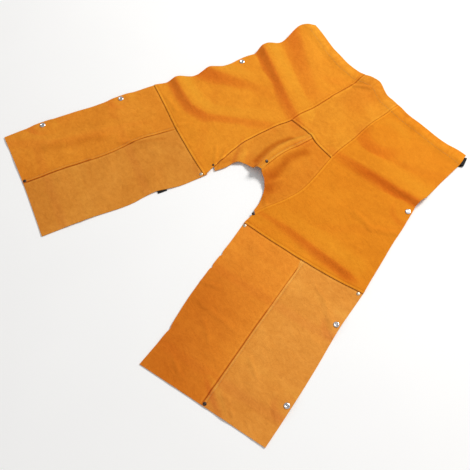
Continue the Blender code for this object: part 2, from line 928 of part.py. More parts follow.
def leather_tree():
    """All the leather in one search tree, for setting small pieces against it."""
    vertices = []
    faces = []
    for made in bpy.data.objects:
        if made.name.startswith(LEATHER_PIECES):
            first = len(vertices)
            vertices += [vertex.co.copy() for vertex in made.data.vertices]
            faces += [[first + index for index in face.vertices] for face in made.data.polygons]
    return BVHTree.FromPolygons(vertices, faces)


def stand_on(made, tree, x, y, radius, below=False):
    """Sets a turned piece a gap off the leather, over all of its foot, square to the leather there."""
    centre = Vector(to_metres([x, y, 0]))
    onward = Vector((0, 0, 1 if below else -1))
    hits = []
    outward = Vector((0, 0, 0))
    for ring in FOOT_RINGS:
        for turn in range(FOOT_STEPS if ring else 1):
            angle = turn * 2 * math.pi / FOOT_STEPS
            place = centre + Vector((math.cos(angle), math.sin(angle), 0)) * (ring * radius * MM)
            hit, facing = tree.ray_cast(place - onward, onward)[:2]
            if hit is not None:
                hits.append(hit)
                outward -= facing * math.copysign(1, facing.dot(onward))
    outward.normalize()
    offset = max((hit - hits[0]).dot(outward) for hit in hits) + GAP * MM
    made.location = hits[0] + outward * offset
    made.rotation_mode = "QUATERNION"
    made.rotation_quaternion = outward.to_track_quat("Z", "Y")


def snap_cap(name, tree, x, y):
    """A ring-shaped cap with a dimple in its middle, standing just off the leather."""
    profile = [(0, 0)] + [(SNAP_RADIUS - ring.inset, ring.height) for ring in SNAP_PROFILE]
    profile.append((0, SNAP_HEIGHT - SNAP_DIMPLE))
    made = turned(name, profile, SNAP_STEPS, material("snap_steel", STEEL, 0.22, 1.0))
    stand_on(made, tree, x, y, SNAP_RADIUS)


def snap_socket(name, tree, x, y):
    """The snap's lower half, under the leather and above the strap."""
    profile = (
        (0, 0),
        (SOCKET_RADIUS, 0),
        (SOCKET_RADIUS, SOCKET_SIDE),
        (SOCKET_RADIUS - SOCKET_RIM, SOCKET_HEIGHT),
        (0, SOCKET_HEIGHT),
    )
    made = turned(name, profile, ROUND_STEPS, material("snap_steel", STEEL, 0.22, 1.0))
    stand_on(made, tree, x, y, SOCKET_RADIUS, below=True)
    return made


def rivet(row, tree):
    profile = [(0, 0)] + [(row.radius - ring.inset, ring.height) for ring in RIVET_PROFILE]
    profile.append((0, RIVET_HEIGHT))
    finish = material("rivet_dark" if row.colour == DARK else "rivet_bright", row.colour, 0.4, 1.0)
    made = turned(row.name, profile, ROUND_STEPS, finish)
    stand_on(made, tree, row.x, row.y, row.radius)


def shin_strap_path(strap):
    """The plan line of a strap behind a shin: from its sewn end past the snap to its tip."""
    edges = SHIN_EDGES[strap.side]
    outer = at_distances(dense(edges.outer), [strap.outer_mm])[0]
    inner = at_distances(dense(edges.inner), [strap.inner_mm])[0]
    along = unit(outer - inner)
    return np.array([inner - along * strap.loop, outer + along * strap.tip]), outer - along * SNAP_INSET


ShinEdges = namedtuple("ShinEdges", "outer seam inner knee hem")
SHIN_EDGES = {
    "right": ShinEdges(
        SHIN_OUTER_EDGE_RIGHT,
        SHIN_SEAM_RIGHT,
        SHIN_INNER_EDGE_RIGHT,
        KNEE_RIGHT,
        (SHIN_OUTER_EDGE_RIGHT[-1], SHIN_SEAM_RIGHT[-1], SHIN_INNER_EDGE_RIGHT[-1]),
    ),
    "left": ShinEdges(
        SHIN_OUTER_EDGE_LEFT,
        SHIN_SEAM_LEFT,
        SHIN_INNER_EDGE_LEFT,
        KNEE_LEFT,
        (SHIN_OUTER_EDGE_LEFT[-1], SHIN_SEAM_LEFT[-1], SHIN_INNER_EDGE_LEFT[-1]),
    ),
}


def bend_through(start, via, end, count):
    """A plan curve that leaves start towards via and reaches end from it."""
    t = np.linspace(0, 1, count)[:, None]
    return (1 - t) ** 2 * np.array(start) + 2 * t * (1 - t) * np.array(via) + t**2 * np.array(end)


def thigh_strap_path(strap):
    """A gentle curve from where the strap is sewn in to its tip just past the outer edge."""
    sewn = np.array(strap.sewn, float)
    via = np.array(strap.via, float)
    snap = np.array(strap.snap, float)
    tip = snap + unit(snap - via) * (SNAP_INSET + strap.tip)
    return bend_through(sewn, via, tip, THIGH_STRAP_STEPS)


def tail_path(end):
    middle = (np.array(end.fold_top) + np.array(end.fold_foot)) / 2
    return bend_through(middle, end.via, end.end, TAIL_SECTIONS)


def low_rises():
    """What lies under the leather and lifts it: straps, snap sockets and the belt's plug."""
    over_strap = WEBBING + GAP
    over_snap = WEBBING + GAP + SOCKET_HEIGHT + GAP
    rises = []
    for strap in SHIN_STRAPS:
        path, snap = shin_strap_path(strap)
        rises.append(Rise(path, over_strap, STRAP_FLAT, STRAP_FADE))
        rises.append(Rise(np.array([snap, snap + 0.01]), over_snap, SNAP_FLAT, SNAP_FADE))
    for strap in THIGH_STRAPS:
        rises.append(Rise(thigh_strap_path(strap), over_strap, THIGH_STRAP_FLAT, THIGH_STRAP_FADE))
        snap = np.array(strap.snap, float)
        rises.append(Rise(np.array([snap, snap + 0.01]), over_snap, THIGH_SNAP_FLAT, THIGH_SNAP_FADE))
    for end, length, height in (
        (BELT_END_RIGHT, BUCKLE_PLUG_LENGTH, BUCKLE_PLUG_HEIGHT),
        (BELT_END_LEFT, BUCKLE_SOCKET_LENGTH, BUCKLE_SOCKET_HEIGHT),
    ):
        path = tail_path(end)
        rises.append(Rise(path, over_strap, THIGH_STRAP_FLAT, THIGH_STRAP_FADE))
        onward = unit(path[-1] - path[-2])
        inset = BUCKLE_END_INSET
        buckle = np.array([path[-1] + onward * inset, path[-1] + onward * (length - 2 * inset)])
        rises.append(Rise(buckle, height + GAP, BUCKLE_FLAT, BUCKLE_FADE))
    return rises


RISES = low_rises()


def belt_end(end):
    """The belt's two skins from its fold on: round the fold, then out along the floor."""
    lanes = np.linspace(end.fold_top, end.fold_foot, 3)
    crease = unit(lanes[-1] - lanes[0])
    path = tail_path(end)
    outward = np.array([crease[1], -crease[0], 0])
    outward *= -np.sign(outward[:2] @ (path[1] - path[0]))
    axis, normal = on_field(lanes, np.full(3, LEATHER / 2))
    inner = GAP + LEATHER / 2
    outer = inner + WEBBING
    outer_skin = []
    inner_skin = []
    for angle in np.linspace(math.pi / 2, -math.pi / 2, TURN_STEPS + 1):
        step = math.cos(angle) * outward + math.sin(angle) * normal
        outer_skin.append(axis + step * outer)
        inner_skin.append(axis + step * inner)
    along = unit(np.gradient(path, axis=0))
    across = np.stack([-along[:, 1], along[:, 0]], axis=1)
    across *= np.sign(across[0] @ (lanes[0] - lanes[1]))
    run = lengths_along(path)
    fall = (float(lift(*lanes[1])) - WEBBING - GAP) * (1 - smooth(run / TAIL_DROP))
    for i in range(1, len(path)):
        plan = path[i] + across[i] * (np.array([[1], [0], [-1]]) * WEBBING_WIDTH / 2)
        clear = TAIL_CLEARANCE * smooth(run[i] / TAIL_CLEAR_FROM)
        room = lift(plan[:, 0], plan[:, 1]) - WEBBING - GAP - clear
        height = np.maximum(np.minimum(room, fall[i]), 0)
        under = np.concatenate([plan, height[:, None]], axis=1)
        outer_skin.append(under)
        inner_skin.append(under + [0, 0, WEBBING])
    return outer_skin, inner_skin


def make_belt(right, centre, left, finish):
    """One ribbon: the right tail, through the casing from right to left, and the left tail."""
    casing = [right[BELT_ROWS, column] for column in range(1, right.shape[1])]
    casing += [centre[BELT_ROWS, column] for column in range(1, centre.shape[1] - 1)]
    casing += [left[BELT_ROWS, column] for column in range(left.shape[1] - 1, -1, -1)]
    under, normal = on_field(np.array(casing), np.full((len(casing), 3), LEATHER + GAP))
    over = under + normal * WEBBING
    right_outer, right_inner = belt_end(BELT_END_RIGHT)
    left_outer, left_inner = belt_end(BELT_END_LEFT)
    top = np.array(right_outer[::-1] + list(over) + left_outer)
    bottom = np.array(right_inner[::-1] + list(under) + left_inner)
    sheet("waist_belt", top, bottom, finish)


def extruded(name, outline, height, start, along, finish):
    """A solid of even height on the floor, from an outline given as (along, across) points."""
    across = np.array([-along[1], along[0]])
    plan = np.array([start + along * a + across * b for a, b in outline])
    count = len(plan)
    low = to_metres(np.concatenate([plan, np.zeros((count, 1))], axis=1))
    high = to_metres(np.concatenate([plan, np.full((count, 1), height)], axis=1))
    faces = [list(range(count))[::-1], list(range(count, 2 * count))]
    faces += [[i, (i + 1) % count, count + (i + 1) % count, count + i] for i in range(count)]
    mesh = bpy.data.meshes.new(name)
    mesh.from_pydata([tuple(point) for point in np.concatenate([low, high])], [], faces)
    build = bmesh.new()
    build.from_mesh(mesh)
    bmesh.ops.recalc_face_normals(build, faces=build.faces)
    build.to_mesh(mesh)
    build.free()
    return add_object(name, mesh, finish)


def cut(made, name, outline, low, high, start, along):
    cutter = extruded(name, outline, high - low, start, along, made.data.materials[0])
    cutter.location.z = low * MM
    cutter.hide_render = True
    cutter.display_type = "WIRE"
    change = made.modifiers.new(name, "BOOLEAN")
    change.operation = "DIFFERENCE"
    change.solver = "EXACT"
    change.object = cutter


def rectangle(first, last, half):
    return ((first, -half), (last, -half), (last, half), (first, half))


def make_buckle(finish):
    """Both halves of the side-release buckle, each with the webbing's end tucked under its bar."""
    half = BUCKLE_WIDTH / 2
    corner = BUCKLE_CORNER
    prong_out = half - PRONG_OUTER_INSET
    prong_in = half - PRONG_INNER_INSET
    bar = BUCKLE_BAR_LENGTH
    tip = BUCKLE_PLUG_LENGTH
    length = BUCKLE_SOCKET_LENGTH
    socket_outline = (
        (0, -half + corner),
        (corner, -half),
        (length - corner, -half),
        (length, -half + corner),
        (length, half - corner),
        (length - corner, half),
        (corner, half),
        (0, half - corner),
    )
    plug_outline = (
        (0, -half),
        (bar, -half),
        (bar, -prong_out),
        (tip, -prong_out),
        (tip, -prong_in),
        (bar, -prong_in),
        (bar, prong_in),
        (tip, prong_in),
        (tip, prong_out),
        (bar, prong_out),
        (bar, half),
        (0, half),
    )
    tuck = rectangle(-CUT_PAST, WEBBING_TUCK + CUT_PLAY, WEBBING_WIDTH / 2 + CUT_PLAY)
    mouth = rectangle(bar, length + CUT_PAST, prong_out + CUT_PLAY)
    for end, name, outline, height in (
        (BELT_END_LEFT, "buckle_socket", socket_outline, BUCKLE_SOCKET_HEIGHT),
        (BELT_END_RIGHT, "buckle_plug", plug_outline, BUCKLE_PLUG_HEIGHT),
    ):
        path = tail_path(end)
        along = unit(path[-1] - path[-2])
        start = path[-1] - along * WEBBING_TUCK
        made = extruded(name, outline, height, start, along, finish)
        cut(made, name + "_tuck_cutter", tuck, -1, WEBBING + GAP, start, along)
        if name == "buckle_socket":
            cut(made, name + "_mouth_cutter", mouth, BUCKLE_WALL, height - BUCKLE_WALL, start, along)


def make_straps(tree, finish):
    for strap in SHIN_STRAPS:
        path, snap = shin_strap_path(strap)
        along = unit(path[1] - path[0])
        across = np.array([-along[1], along[0]])
        length = np.linalg.norm(path[1] - path[0])
        run = np.concatenate([np.linspace(0, length - STRAP_TIP, STRAP_STEPS), [length]])
        points = path[0] + along * run[:, None]
        ribbon("strap_" + strap.name, points, np.tile(across, (len(run), 1)), np.zeros(len(run)), finish)
        fasten(strap.name, tree, snap)
    for strap in THIGH_STRAPS:
        path = thigh_strap_path(strap)
        along = unit(np.gradient(path, axis=0))
        across = np.stack([-along[:, 1], along[:, 0]], axis=1)
        snap = np.array(strap.snap, float)
        room = fasten(strap.name, tree, snap)
        near = smooth((THIGH_SNAP_REACH - np.linalg.norm(path - snap, axis=1)) / THIGH_SNAP_EASE)
        ribbon("strap_" + strap.name, path, across, max(room, 0) * near, finish)


def fasten(name, tree, snap):
    """A strap's cap and socket. Gives the height that the strap's underside can have below them."""
    snap_cap("snap_cap_" + name, tree, *snap)
    socket = snap_socket("snap_socket_" + name, tree, *snap)
    bpy.context.view_layer.update()
    lowest = min((socket.matrix_world @ vertex.co).z for vertex in socket.data.vertices)
    return lowest / MM - GAP - WEBBING


def make_panels(finish):
    sides = (CENTRE_SEAM_RIGHT, GUSSET_ARC_RIGHT, INNER_THIGH_RIGHT)
    right = thigh_grid(WAIST_RIGHT, sides, OUTER_THIGH_RIGHT, KNEE_RIGHT, CASING_ROWS)
    sides = (CENTRE_SEAM_LEFT, GUSSET_ARC_LEFT, INNER_THIGH_LEFT)
    left = thigh_grid(WAIST_LEFT[::-1], sides, OUTER_THIGH_LEFT, KNEE_LEFT, CASING_ROWS_LEFT_END)
    sewn_side = len(right) - INNER_THIGH_ROWS
    cased_sheet("thigh_right", open_seams(right, last_row=True, last_column=sewn_side), finish, BACK_TRIM)
    cased_sheet("thigh_left", open_seams(left, last_row=True, last_column=sewn_side), finish)
    centre = centre_grid()
    cased_sheet(
        "centre_panel", open_seams(centre, last_row=True, first_column=True, last_column=len(centre)), finish
    )
    middle = CENTRE_HALF_COLUMNS
    tops = (centre[-1, : middle + 1], centre[-1, middle:][::-1])
    edges = (("right", GUSSET_ARC_RIGHT, CROTCH_EDGE_RIGHT), ("left", GUSSET_ARC_LEFT, CROTCH_EDGE_LEFT))
    for (side, arc, crotch_edge), top in zip(edges, tops):
        grid = gusset_grid(arc, crotch_edge, top)
        grid = open_seams(grid, first_row=True, first_column=True, last_column=SEAM_SHARE_OF_ARC + 1)
        flat_sheet("gusset_" + side, grid, finish)
    for side, edges in SHIN_EDGES.items():
        straps = [strap for strap in SHIN_STRAPS if strap.side == side]
        outer, inner = shin_grids(*edges[:3], edges.knee, edges.hem, straps)
        flat_sheet("shin_outer_" + side, open_seams(outer, first_row=True, last_column=len(outer)), finish)
        flat_sheet("shin_inner_" + side, open_seams(inner, first_row=True, first_column=True), finish)
    return right, centre, left


def main():
    for made in list(bpy.data.objects):
        bpy.data.objects.remove(made)
    leather = material("split_cowhide", GOLDEN, 0.85)
    webbing = material("webbing", BLACK, 0.8)
    panels = make_panels(leather)
    make_belt(*panels, webbing)
    make_buckle(material("buckle", BLACK, 0.45))
    tree = leather_tree()
    make_straps(tree, webbing)
    for row in RIVETS:
        rivet(row, tree)


main()
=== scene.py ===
"""Looks of the split-leg welding apron: suede panels, lapped and sewn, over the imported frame.

The tables and the height field are those of the CAD source, in millimetres, with X from the middle
of the legs and Y from the crotch. DATUM_Y and MM turn them into the row frame.
"""

import math
from collections import namedtuple

import bmesh
import bpy
import numpy as np
from mathutils import Matrix, Vector
from mathutils.bvhtree import BVHTree


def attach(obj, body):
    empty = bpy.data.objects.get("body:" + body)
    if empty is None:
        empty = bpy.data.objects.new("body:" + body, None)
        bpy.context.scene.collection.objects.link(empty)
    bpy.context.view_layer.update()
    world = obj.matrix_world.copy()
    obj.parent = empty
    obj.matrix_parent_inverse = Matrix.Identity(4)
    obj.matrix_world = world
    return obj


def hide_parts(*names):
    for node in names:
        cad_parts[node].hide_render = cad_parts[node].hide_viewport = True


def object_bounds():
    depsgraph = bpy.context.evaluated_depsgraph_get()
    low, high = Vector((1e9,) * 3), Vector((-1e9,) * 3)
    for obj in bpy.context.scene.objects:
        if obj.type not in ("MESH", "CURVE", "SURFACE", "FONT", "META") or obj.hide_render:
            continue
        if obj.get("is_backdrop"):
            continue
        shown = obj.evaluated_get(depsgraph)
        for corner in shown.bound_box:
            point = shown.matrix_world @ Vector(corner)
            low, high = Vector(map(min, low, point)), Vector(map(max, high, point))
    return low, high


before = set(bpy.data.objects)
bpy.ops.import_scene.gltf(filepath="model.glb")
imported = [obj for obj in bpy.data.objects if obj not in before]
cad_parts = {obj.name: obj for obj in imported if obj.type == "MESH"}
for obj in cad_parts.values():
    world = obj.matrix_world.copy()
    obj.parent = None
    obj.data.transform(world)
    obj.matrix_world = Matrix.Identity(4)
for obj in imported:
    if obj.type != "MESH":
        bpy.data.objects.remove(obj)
CAD_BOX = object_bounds()

MM = 0.001

# Cloth and webbing
LEATHER = 1.6
WEBBING = 1.4
WEBBING_WIDTH = 25.0
GAP = 0.3

# Waist casing: the top edge folded to the back, with the belt inside
CASING_DEPTH = 30.0
BELT_EDGE = 3.0
CASING_RISE = LEATHER + GAP + WEBBING + GAP
CASING_RUNOUT = 14.0

# Snaps and rivets
SNAP_RADIUS = 7.5
SNAP_HEIGHT = 2.6
SOCKET_RADIUS = 6.0
SOCKET_HEIGHT = 2.0
RIVET_RADIUS = 4.6
SMALL_RIVET_RADIUS = 3.2
RIVET_HEIGHT = 1.8
SNAP_SEGMENTS = 40
SMALL_SEGMENTS = 32
SHARP_DEGREES = 50

# How far each sinks into the nap, and where its foot is set against the leather: at these shares of its
# radius, all round
SNAP_SINK = 0.2
SOCKET_SINK = 0.1
RIVET_SINK = 0.25
FOOT_RINGS = (0, 0.5, 0.95)
FOOT_TURNS = 16

# The apron's lowest and highest points in Y, measured from the crotch
HEM_END_Y = -588.0
WAIST_END_Y = 438.9
DATUM_Y = -(HEM_END_Y + WAIST_END_Y) / 2
Point = namedtuple("Point", "x y")


def trace(*pairs):
    """A path through plan points, each given as X and Y."""
    return tuple(Point(*pair) for pair in pairs)


# Edges and seams, each from the waist down or from the wearer's right to left
WAIST_RIGHT = trace((-283, 436), (-255, 433), (-209, 423), (-163, 413), (-109, 406), (-75, 410), (-53, 414))
WAIST_CENTRE = trace((-53, 414), (-20, 414), (2, 413), (27, 407), (53, 409), (83, 408))
WAIST_LEFT = trace((83, 408), (114, 405), (184, 406), (265, 410), (300, 417), (319, 418))
CENTRE_SEAM_RIGHT = trace((-53, 414), (-50, 370), (-59, 300), (-65, 225), (-72, 149))
CENTRE_SEAM_LEFT = trace((83, 408), (81, 345), (82, 280), (85, 210), (88, 144))
GUSSET_TOP = trace((-72, 149), (-42, 151), (-18, 152), (12, 147), (45, 145), (88, 144))
GUSSET_ARC_RIGHT = trace((-72, 149), (-86, 100), (-96, 50), (-101, 0), (-100, -50), (-95, -90), (-93, -114))
GUSSET_ARC_LEFT = trace((88, 144), (99, 90), (107, 50), (111, 5), (107, -30), (97, -70), (84, -124))
GUSSET_CENTRE = trace((12, 147), (5, 106), (-1, 73), (-2, 38), (0, 0), (2, -31))
CROTCH_EDGE_RIGHT = trace(
    (2, -31), (-28, -43), (-52, -49), (-66, -57), (-67, -73), (-71, -90), (-75, -105), (-81, -120),
)
CROTCH_EDGE_LEFT = trace((2, -31), (17, -37), (41, -54), (58, -76), (69, -96), (77, -122))
INNER_THIGH_RIGHT = trace((-93, -114), (-90, -131), (-88, -151))
INNER_THIGH_LEFT = trace((84, -124), (86, -144), (88, -164))
OUTER_THIGH_RIGHT = trace(
    (-283, 436), (-305, 402), (-306, 366), (-304, 330), (-317, 283), (-322, 262), (-321, 229), (-331, 190),
    (-334, 155), (-339, 120), (-359, 89), (-366, 57), (-379, 27), (-394, -4), (-401, -27), (-420, -64),
)
OUTER_THIGH_LEFT = trace(
    (319, 418), (326, 390), (328, 371), (330, 337), (332, 306), (337, 262), (341, 226), (338, 206),
    (345, 182), (360, 132), (375, 76), (392, 21), (409, -35), (422, -76),
)
KNEE_RIGHT = trace((-420, -64), (-340, -87), (-258, -112), (-172, -133), (-88, -151))
KNEE_LEFT = trace((422, -76), (345, -102), (263, -125), (175, -146), (88, -164))
SHIN_OUTER_EDGE_RIGHT = trace((-420, -64), (-449, -165), (-481, -281), (-513, -382), (-538, -486))
SHIN_OUTER_EDGE_LEFT = trace((422, -76), (448, -181), (485, -300), (513, -397), (538, -494))
SHIN_SEAM_RIGHT = trace((-258, -112), (-292, -208), (-312, -310), (-343, -405), (-378, -527))
SHIN_SEAM_LEFT = trace((263, -125), (291, -226), (318, -330), (347, -432), (377, -540))
SHIN_INNER_EDGE_RIGHT = trace(
    (-88, -151), (-108, -227), (-134, -285), (-143, -346), (-176, -449), (-187, -486), (-212, -576),
)
SHIN_INNER_EDGE_LEFT = trace((88, -164), (114, -250), (135, -329), (168, -431), (189, -484), (213, -588))
ShinEdges = namedtuple("ShinEdges", "outer seam inner knee")
SHIN_EDGES = {
    "right": ShinEdges(SHIN_OUTER_EDGE_RIGHT, SHIN_SEAM_RIGHT, SHIN_INNER_EDGE_RIGHT, KNEE_RIGHT),
    "left": ShinEdges(SHIN_OUTER_EDGE_LEFT, SHIN_SEAM_LEFT, SHIN_INNER_EDGE_LEFT, KNEE_LEFT),
}

# Grid lines down the thighs, as shares of the way from the outer edge to the inner one, and their
# counts elsewhere. The share 0.5 meets the seam between the two shin panels.
THIGH_COLUMNS = (0, 0.06, 0.15, 0.24, 0.33, 0.415, 0.5, 0.585, 0.67, 0.75, 0.83, 0.91, 1)
SHIN_SEAM_COLUMN = THIGH_COLUMNS.index(0.5)
CENTRE_HALF_COLUMNS = 5
CASING_ROWS = (0, BELT_EDGE, 15, CASING_DEPTH - BELT_EDGE, CASING_DEPTH, 37, CASING_DEPTH + CASING_RUNOUT)
CASING_ROWS_LEFT_END = (0, 8, 20.5, 33, 36, 43, 50)
BELT_ROWS = slice(1, 4)
CENTRE_ROWS = 11
ARC_ROWS = 13
SEAM_SHARE_OF_ARC = 8
INNER_THIGH_ROWS = 2

# Straps behind each leg: their distances from the knee down the shin's outer edge and its inner
# edge, and how far each sticks out past them
Strap = namedtuple("Strap", "name side outer_mm inner_mm tip loop")
SHIN_STRAPS = (
    Strap("knee_right", "right", 104, 119, -3, 6),
    Strap("shin_right", "right", 331, 349, -3, -3),
    Strap("knee_left", "left", 106, 108, -1, -3),
    Strap("shin_left", "left", 332, 337, -1, -3),
)
SNAP_INSET = 11.0
TIP_CORNER = 5.0
STRAP_FLAT = WEBBING_WIDTH / 2 + 9
STRAP_SIDE_ROW = WEBBING_WIDTH / 2 + 2
STRAP_FADE = 30.0
STRAP_ROWS = (-STRAP_FLAT - STRAP_FADE, -STRAP_SIDE_ROW, STRAP_SIDE_ROW, STRAP_FLAT + STRAP_FADE)
SHIN_ROWS_BETWEEN = (2, 5, 3)
SNAP_FLAT = 19.0
SNAP_FADE = 28.0

# A strap's sections: their step, the stretch at its tip that is closer, and how it lies under its snap
STRAP_STEP = 9.0
STRAP_END = 7.0
STRAP_END_SECTIONS = 5
TIP_CORNER_LENGTH = 6.0
THIGH_STRAP_SECTIONS = 71
UNDER_SOCKET = 0.05

# Folds: each crest's path, its height at both ends, how far it takes to die out on the left and on
# the right of the path, and how sharp its crest is on the right, from 0 to 1
Fold = namedtuple("Fold", "name path height0 height1 left_side right_side sharp")
FOLDS = (
    Fold("hip top", trace((-316, 398), (-254, 363), (-203, 332), (-110, 283)), 19, 5, 96, 62, 0.4),
    Fold("hip middle", trace((-322, 265), (-272, 247), (-133, 193), (-66, 170)), 18, 8, 58, 40, 0.9),
    Fold("hip low", trace((-362, 90), (-321, 110), (-273, 137), (-210, 176)), 18, 3, 62, 50, 0.6),
    Fold(
        "right above the knee",
        trace((-396, -4), (-338, -20), (-287, -29), (-237, -16), (-181, 32), (-115, 90)),
        14, 5, 50, 34, 0.8,
    ),
    Fold("crotch pucker", trace((-60, -58), (-96, -4)), 8, 3, 24, 24, 0),
    Fold("left hip", trace((94, 174), (208, 195), (271, 203), (344, 217)), 4, 16, 70, 36, 1),
    Fold("left above the knee", trace((110, -104), (175, -86), (262, -76), (350, -64)), 4, 10, 60, 29, 0.9),
    Fold("right shin", trace((-505, -462), (-437, -379), (-406, -295), (-340, -165)), 3, 3, 34, 34, 0.7),
    Fold("right shin edge", trace((-516, -380), (-492, -290)), 2, 4, 40, 34, 0),
    Fold("left shin crease", trace((372, -500), (440, -526)), 3, 1, 16, 16, 0),
    Fold("gusset ridge", trace((-5, -40), (-16, 17), (-20, 51), (-15, 91), (0, 133)), 26, 10, 20, 34, 0.5),
)
FOLD_FADE = 60.0

# How sharply folds join, how low a rise counts as flat, the steps of an edge between two of its points,
# how round a sharp crest stays, and how short a path is that makes a round rise
BLEND = 4
FLAT_BELOW = 0.02
SPAN_STEPS = 16
CREST_ROUND = 0.16
SPOT = 0.01

# The crease down the middle, from folding the apron in half: its height and its half widths
Crease = namedtuple("Crease", "y height right_side left_side")
CREASE_X = 3.0
CREASE = (
    Crease(440, 24, 80, 50),
    Crease(400, 22, 78, 50),
    Crease(345, 15, 74, 48),
    Crease(290, 9, 70, 46),
    Crease(210, 8, 62, 46),
    Crease(151, 6, 54, 46),
    Crease(100, 2, 44, 40),
    Crease(50, 0, 40, 36),
)

# The gusset's fullness stands up as a low dome
DOME_X = 3.0
DOME_Y = -2.0
DOME_HEIGHT = 16.0
DOME_HALF_WIDTH = 96.0
DOME_TO_WAIST = 150.0
DOME_TO_LEGS = 105.0

# The belt's two ends are folded under the apron. fold_top to fold_foot is the fold, via and end set
# the curve of the tail on the floor
BeltEnd = namedtuple("BeltEnd", "fold_top fold_foot via end")
BELT_END_RIGHT = BeltEnd(Point(-279.5, 433), Point(-290, 410.5), Point(-215, 396), Point(-150, 368))
BELT_END_LEFT = BeltEnd(Point(324.5, 414.5), Point(334.5, 388.5), Point(268, 319), Point(150, 300))
BACK_TRIM = 0.78
TAIL_CLEARANCE = 4.0
TAIL_CLEAR_FROM = 25.0
TAIL_DROP = 70.0
TAIL_SECTIONS = 9
TAIL_FINER = 3
BELT_BEND_STEPS = 11
BUCKLE_SOCKET_LENGTH = 34.0
BUCKLE_SOCKET_HEIGHT = 9.0
BUCKLE_PLUG_LENGTH = 38.0
BUCKLE_PLUG_HEIGHT = 6.0
BUCKLE_FLAT = 28.0
BUCKLE_FADE = 50.0
BUCKLE_END_INSET = 8.0
THIGH_STRAP_FLAT = 34.0
THIGH_STRAP_FADE = 34.0
THIGH_STRAP_STEPS = 15
THIGH_SNAP_FLAT = 28.0
THIGH_SNAP_FADE = 30.0
THIGH_SNAP_REACH = 80.0
THIGH_SNAP_EASE = 55.0

# Thigh straps: where they are sewn in, a point that sets their curve, and their snap
ThighStrap = namedtuple("ThighStrap", "name sewn via snap tip")
THIGH_STRAPS = (
    ThighStrap("thigh_right", Point(-101, -104), Point(-215, 48), Point(-320, 180), -4),
    ThighStrap("thigh_left", Point(92, -112), Point(216, 36), Point(337, 172), -4),
)
Rivet = namedtuple("Rivet", "name x y radius colour")
RIVETS = (
    Rivet("rivet_gusset_right", -97, -113, SMALL_RIVET_RADIUS, "dark"),
    Rivet("rivet_gusset_left", 85, -131, RIVET_RADIUS, "dark"),
    Rivet("rivet_knee_right", -97, -155, RIVET_RADIUS, "bright"),
    Rivet("rivet_knee_left", 95, -169, RIVET_RADIUS, "bright"),
    Rivet("rivet_knee_outer_left", 414, -85, RIVET_RADIUS, "bright"),
    Rivet("rivet_hem_right", -381, -520, RIVET_RADIUS, "dark"),
    Rivet("rivet_hem_left", 380, -533, RIVET_RADIUS, "dark"),
    Rivet("rivet_crotch", -5, -6, RIVET_RADIUS, "dark"),
)


def array(points):
    return np.array([tuple(point)[:2] for point in points], float)


def spline(knots, values, at):
    """A cubic through the rows of a table, with each row's slope taken from its neighbours."""
    knots = np.asarray(knots, float)
    values = np.asarray(values, float)
    slopes = np.gradient(values, knots, axis=0)
    at = np.clip(at, knots[0], knots[-1])
    cell = np.clip(np.searchsorted(knots, at) - 1, 0, len(knots) - 2)
    width = knots[cell + 1] - knots[cell]
    t = (at - knots[cell]) / width
    if values.ndim == 2:
        t = t[..., None]
        width = width[..., None]
    start = (1 + 2 * t) * (1 - t) ** 2 * values[cell] + t * (1 - t) ** 2 * width * slopes[cell]
    end = t**2 * (3 - 2 * t) * values[cell + 1] + t**2 * (t - 1) * width * slopes[cell + 1]
    return start + end


def lengths_along(points):
    steps = np.linalg.norm(np.diff(points, axis=0), axis=1)
    return np.concatenate([[0], np.cumsum(steps)])


def dense(points):
    """A smooth edge through a table's points, closely spaced."""
    points = array(points)
    knots = lengths_along(points)
    return spline(knots, points, np.linspace(0, knots[-1], SPAN_STEPS * (len(points) - 1) + 1))


def at_distances(curve, distances):
    lengths = lengths_along(curve)
    return np.stack([np.interp(distances, lengths, curve[:, axis]) for axis in (0, 1)], axis=1)


def at_shares(curve, shares):
    return at_distances(curve, np.asarray(shares) * lengths_along(curve)[-1])


def smooth(t):
    t = np.clip(t, 0, 1)
    return t * t * (3 - 2 * t)


def hump(distance, width):
    """One at zero distance, none at the width, level at both."""
    return 0.5 + 0.5 * np.cos(math.pi * np.clip(np.abs(distance) / width, 0, 1))


def unit(vector):
    return vector / np.linalg.norm(vector, axis=-1, keepdims=True)


def to_left(along):
    return np.stack([-along[..., 1], along[..., 0]], axis=-1)


def place_by_path(path, x, y):
    """How far along a path a point lies, how far past its ends, and how far off to its left."""
    lengths = lengths_along(path)
    nearest = np.full(np.shape(x), np.inf)
    run = np.zeros(np.shape(x))
    past = np.zeros(np.shape(x))
    left = np.zeros(np.shape(x))
    last = len(path) - 2
    for i, (start, end) in enumerate(zip(path[:-1], path[1:])):
        along = unit(end - start)
        length = lengths[i + 1] - lengths[i]
        ahead = (x - start[0]) * along[0] + (y - start[1]) * along[1]
        side = (y - start[1]) * along[0] - (x - start[0]) * along[1]
        held = np.clip(ahead, 0, length)
        beyond = np.where(i == 0, np.maximum(-ahead, 0), 0)
        beyond = beyond + np.where(i == last, np.maximum(ahead - length, 0), 0)
        gap = np.abs(ahead - held) - beyond
        away = np.hypot(gap, side)
        closer = np.hypot(away, beyond) < nearest
        nearest = np.where(closer, np.hypot(away, beyond), nearest)
        run = np.where(closer, lengths[i] + held, run)
        past = np.where(closer, beyond, past)
        left = np.where(closer, np.copysign(away, side), left)
    return run / lengths[-1], past, left


def crest(distance, width):
    """One at zero distance and none at the width, falling steeply from a narrow crest."""
    share = np.clip(np.abs(distance) / width, 0, 1)
    eased = (np.sqrt(share**2 + CREST_ROUND**2) - CREST_ROUND) / (math.hypot(1, CREST_ROUND) - CREST_ROUND)
    return (1 - eased) ** 2


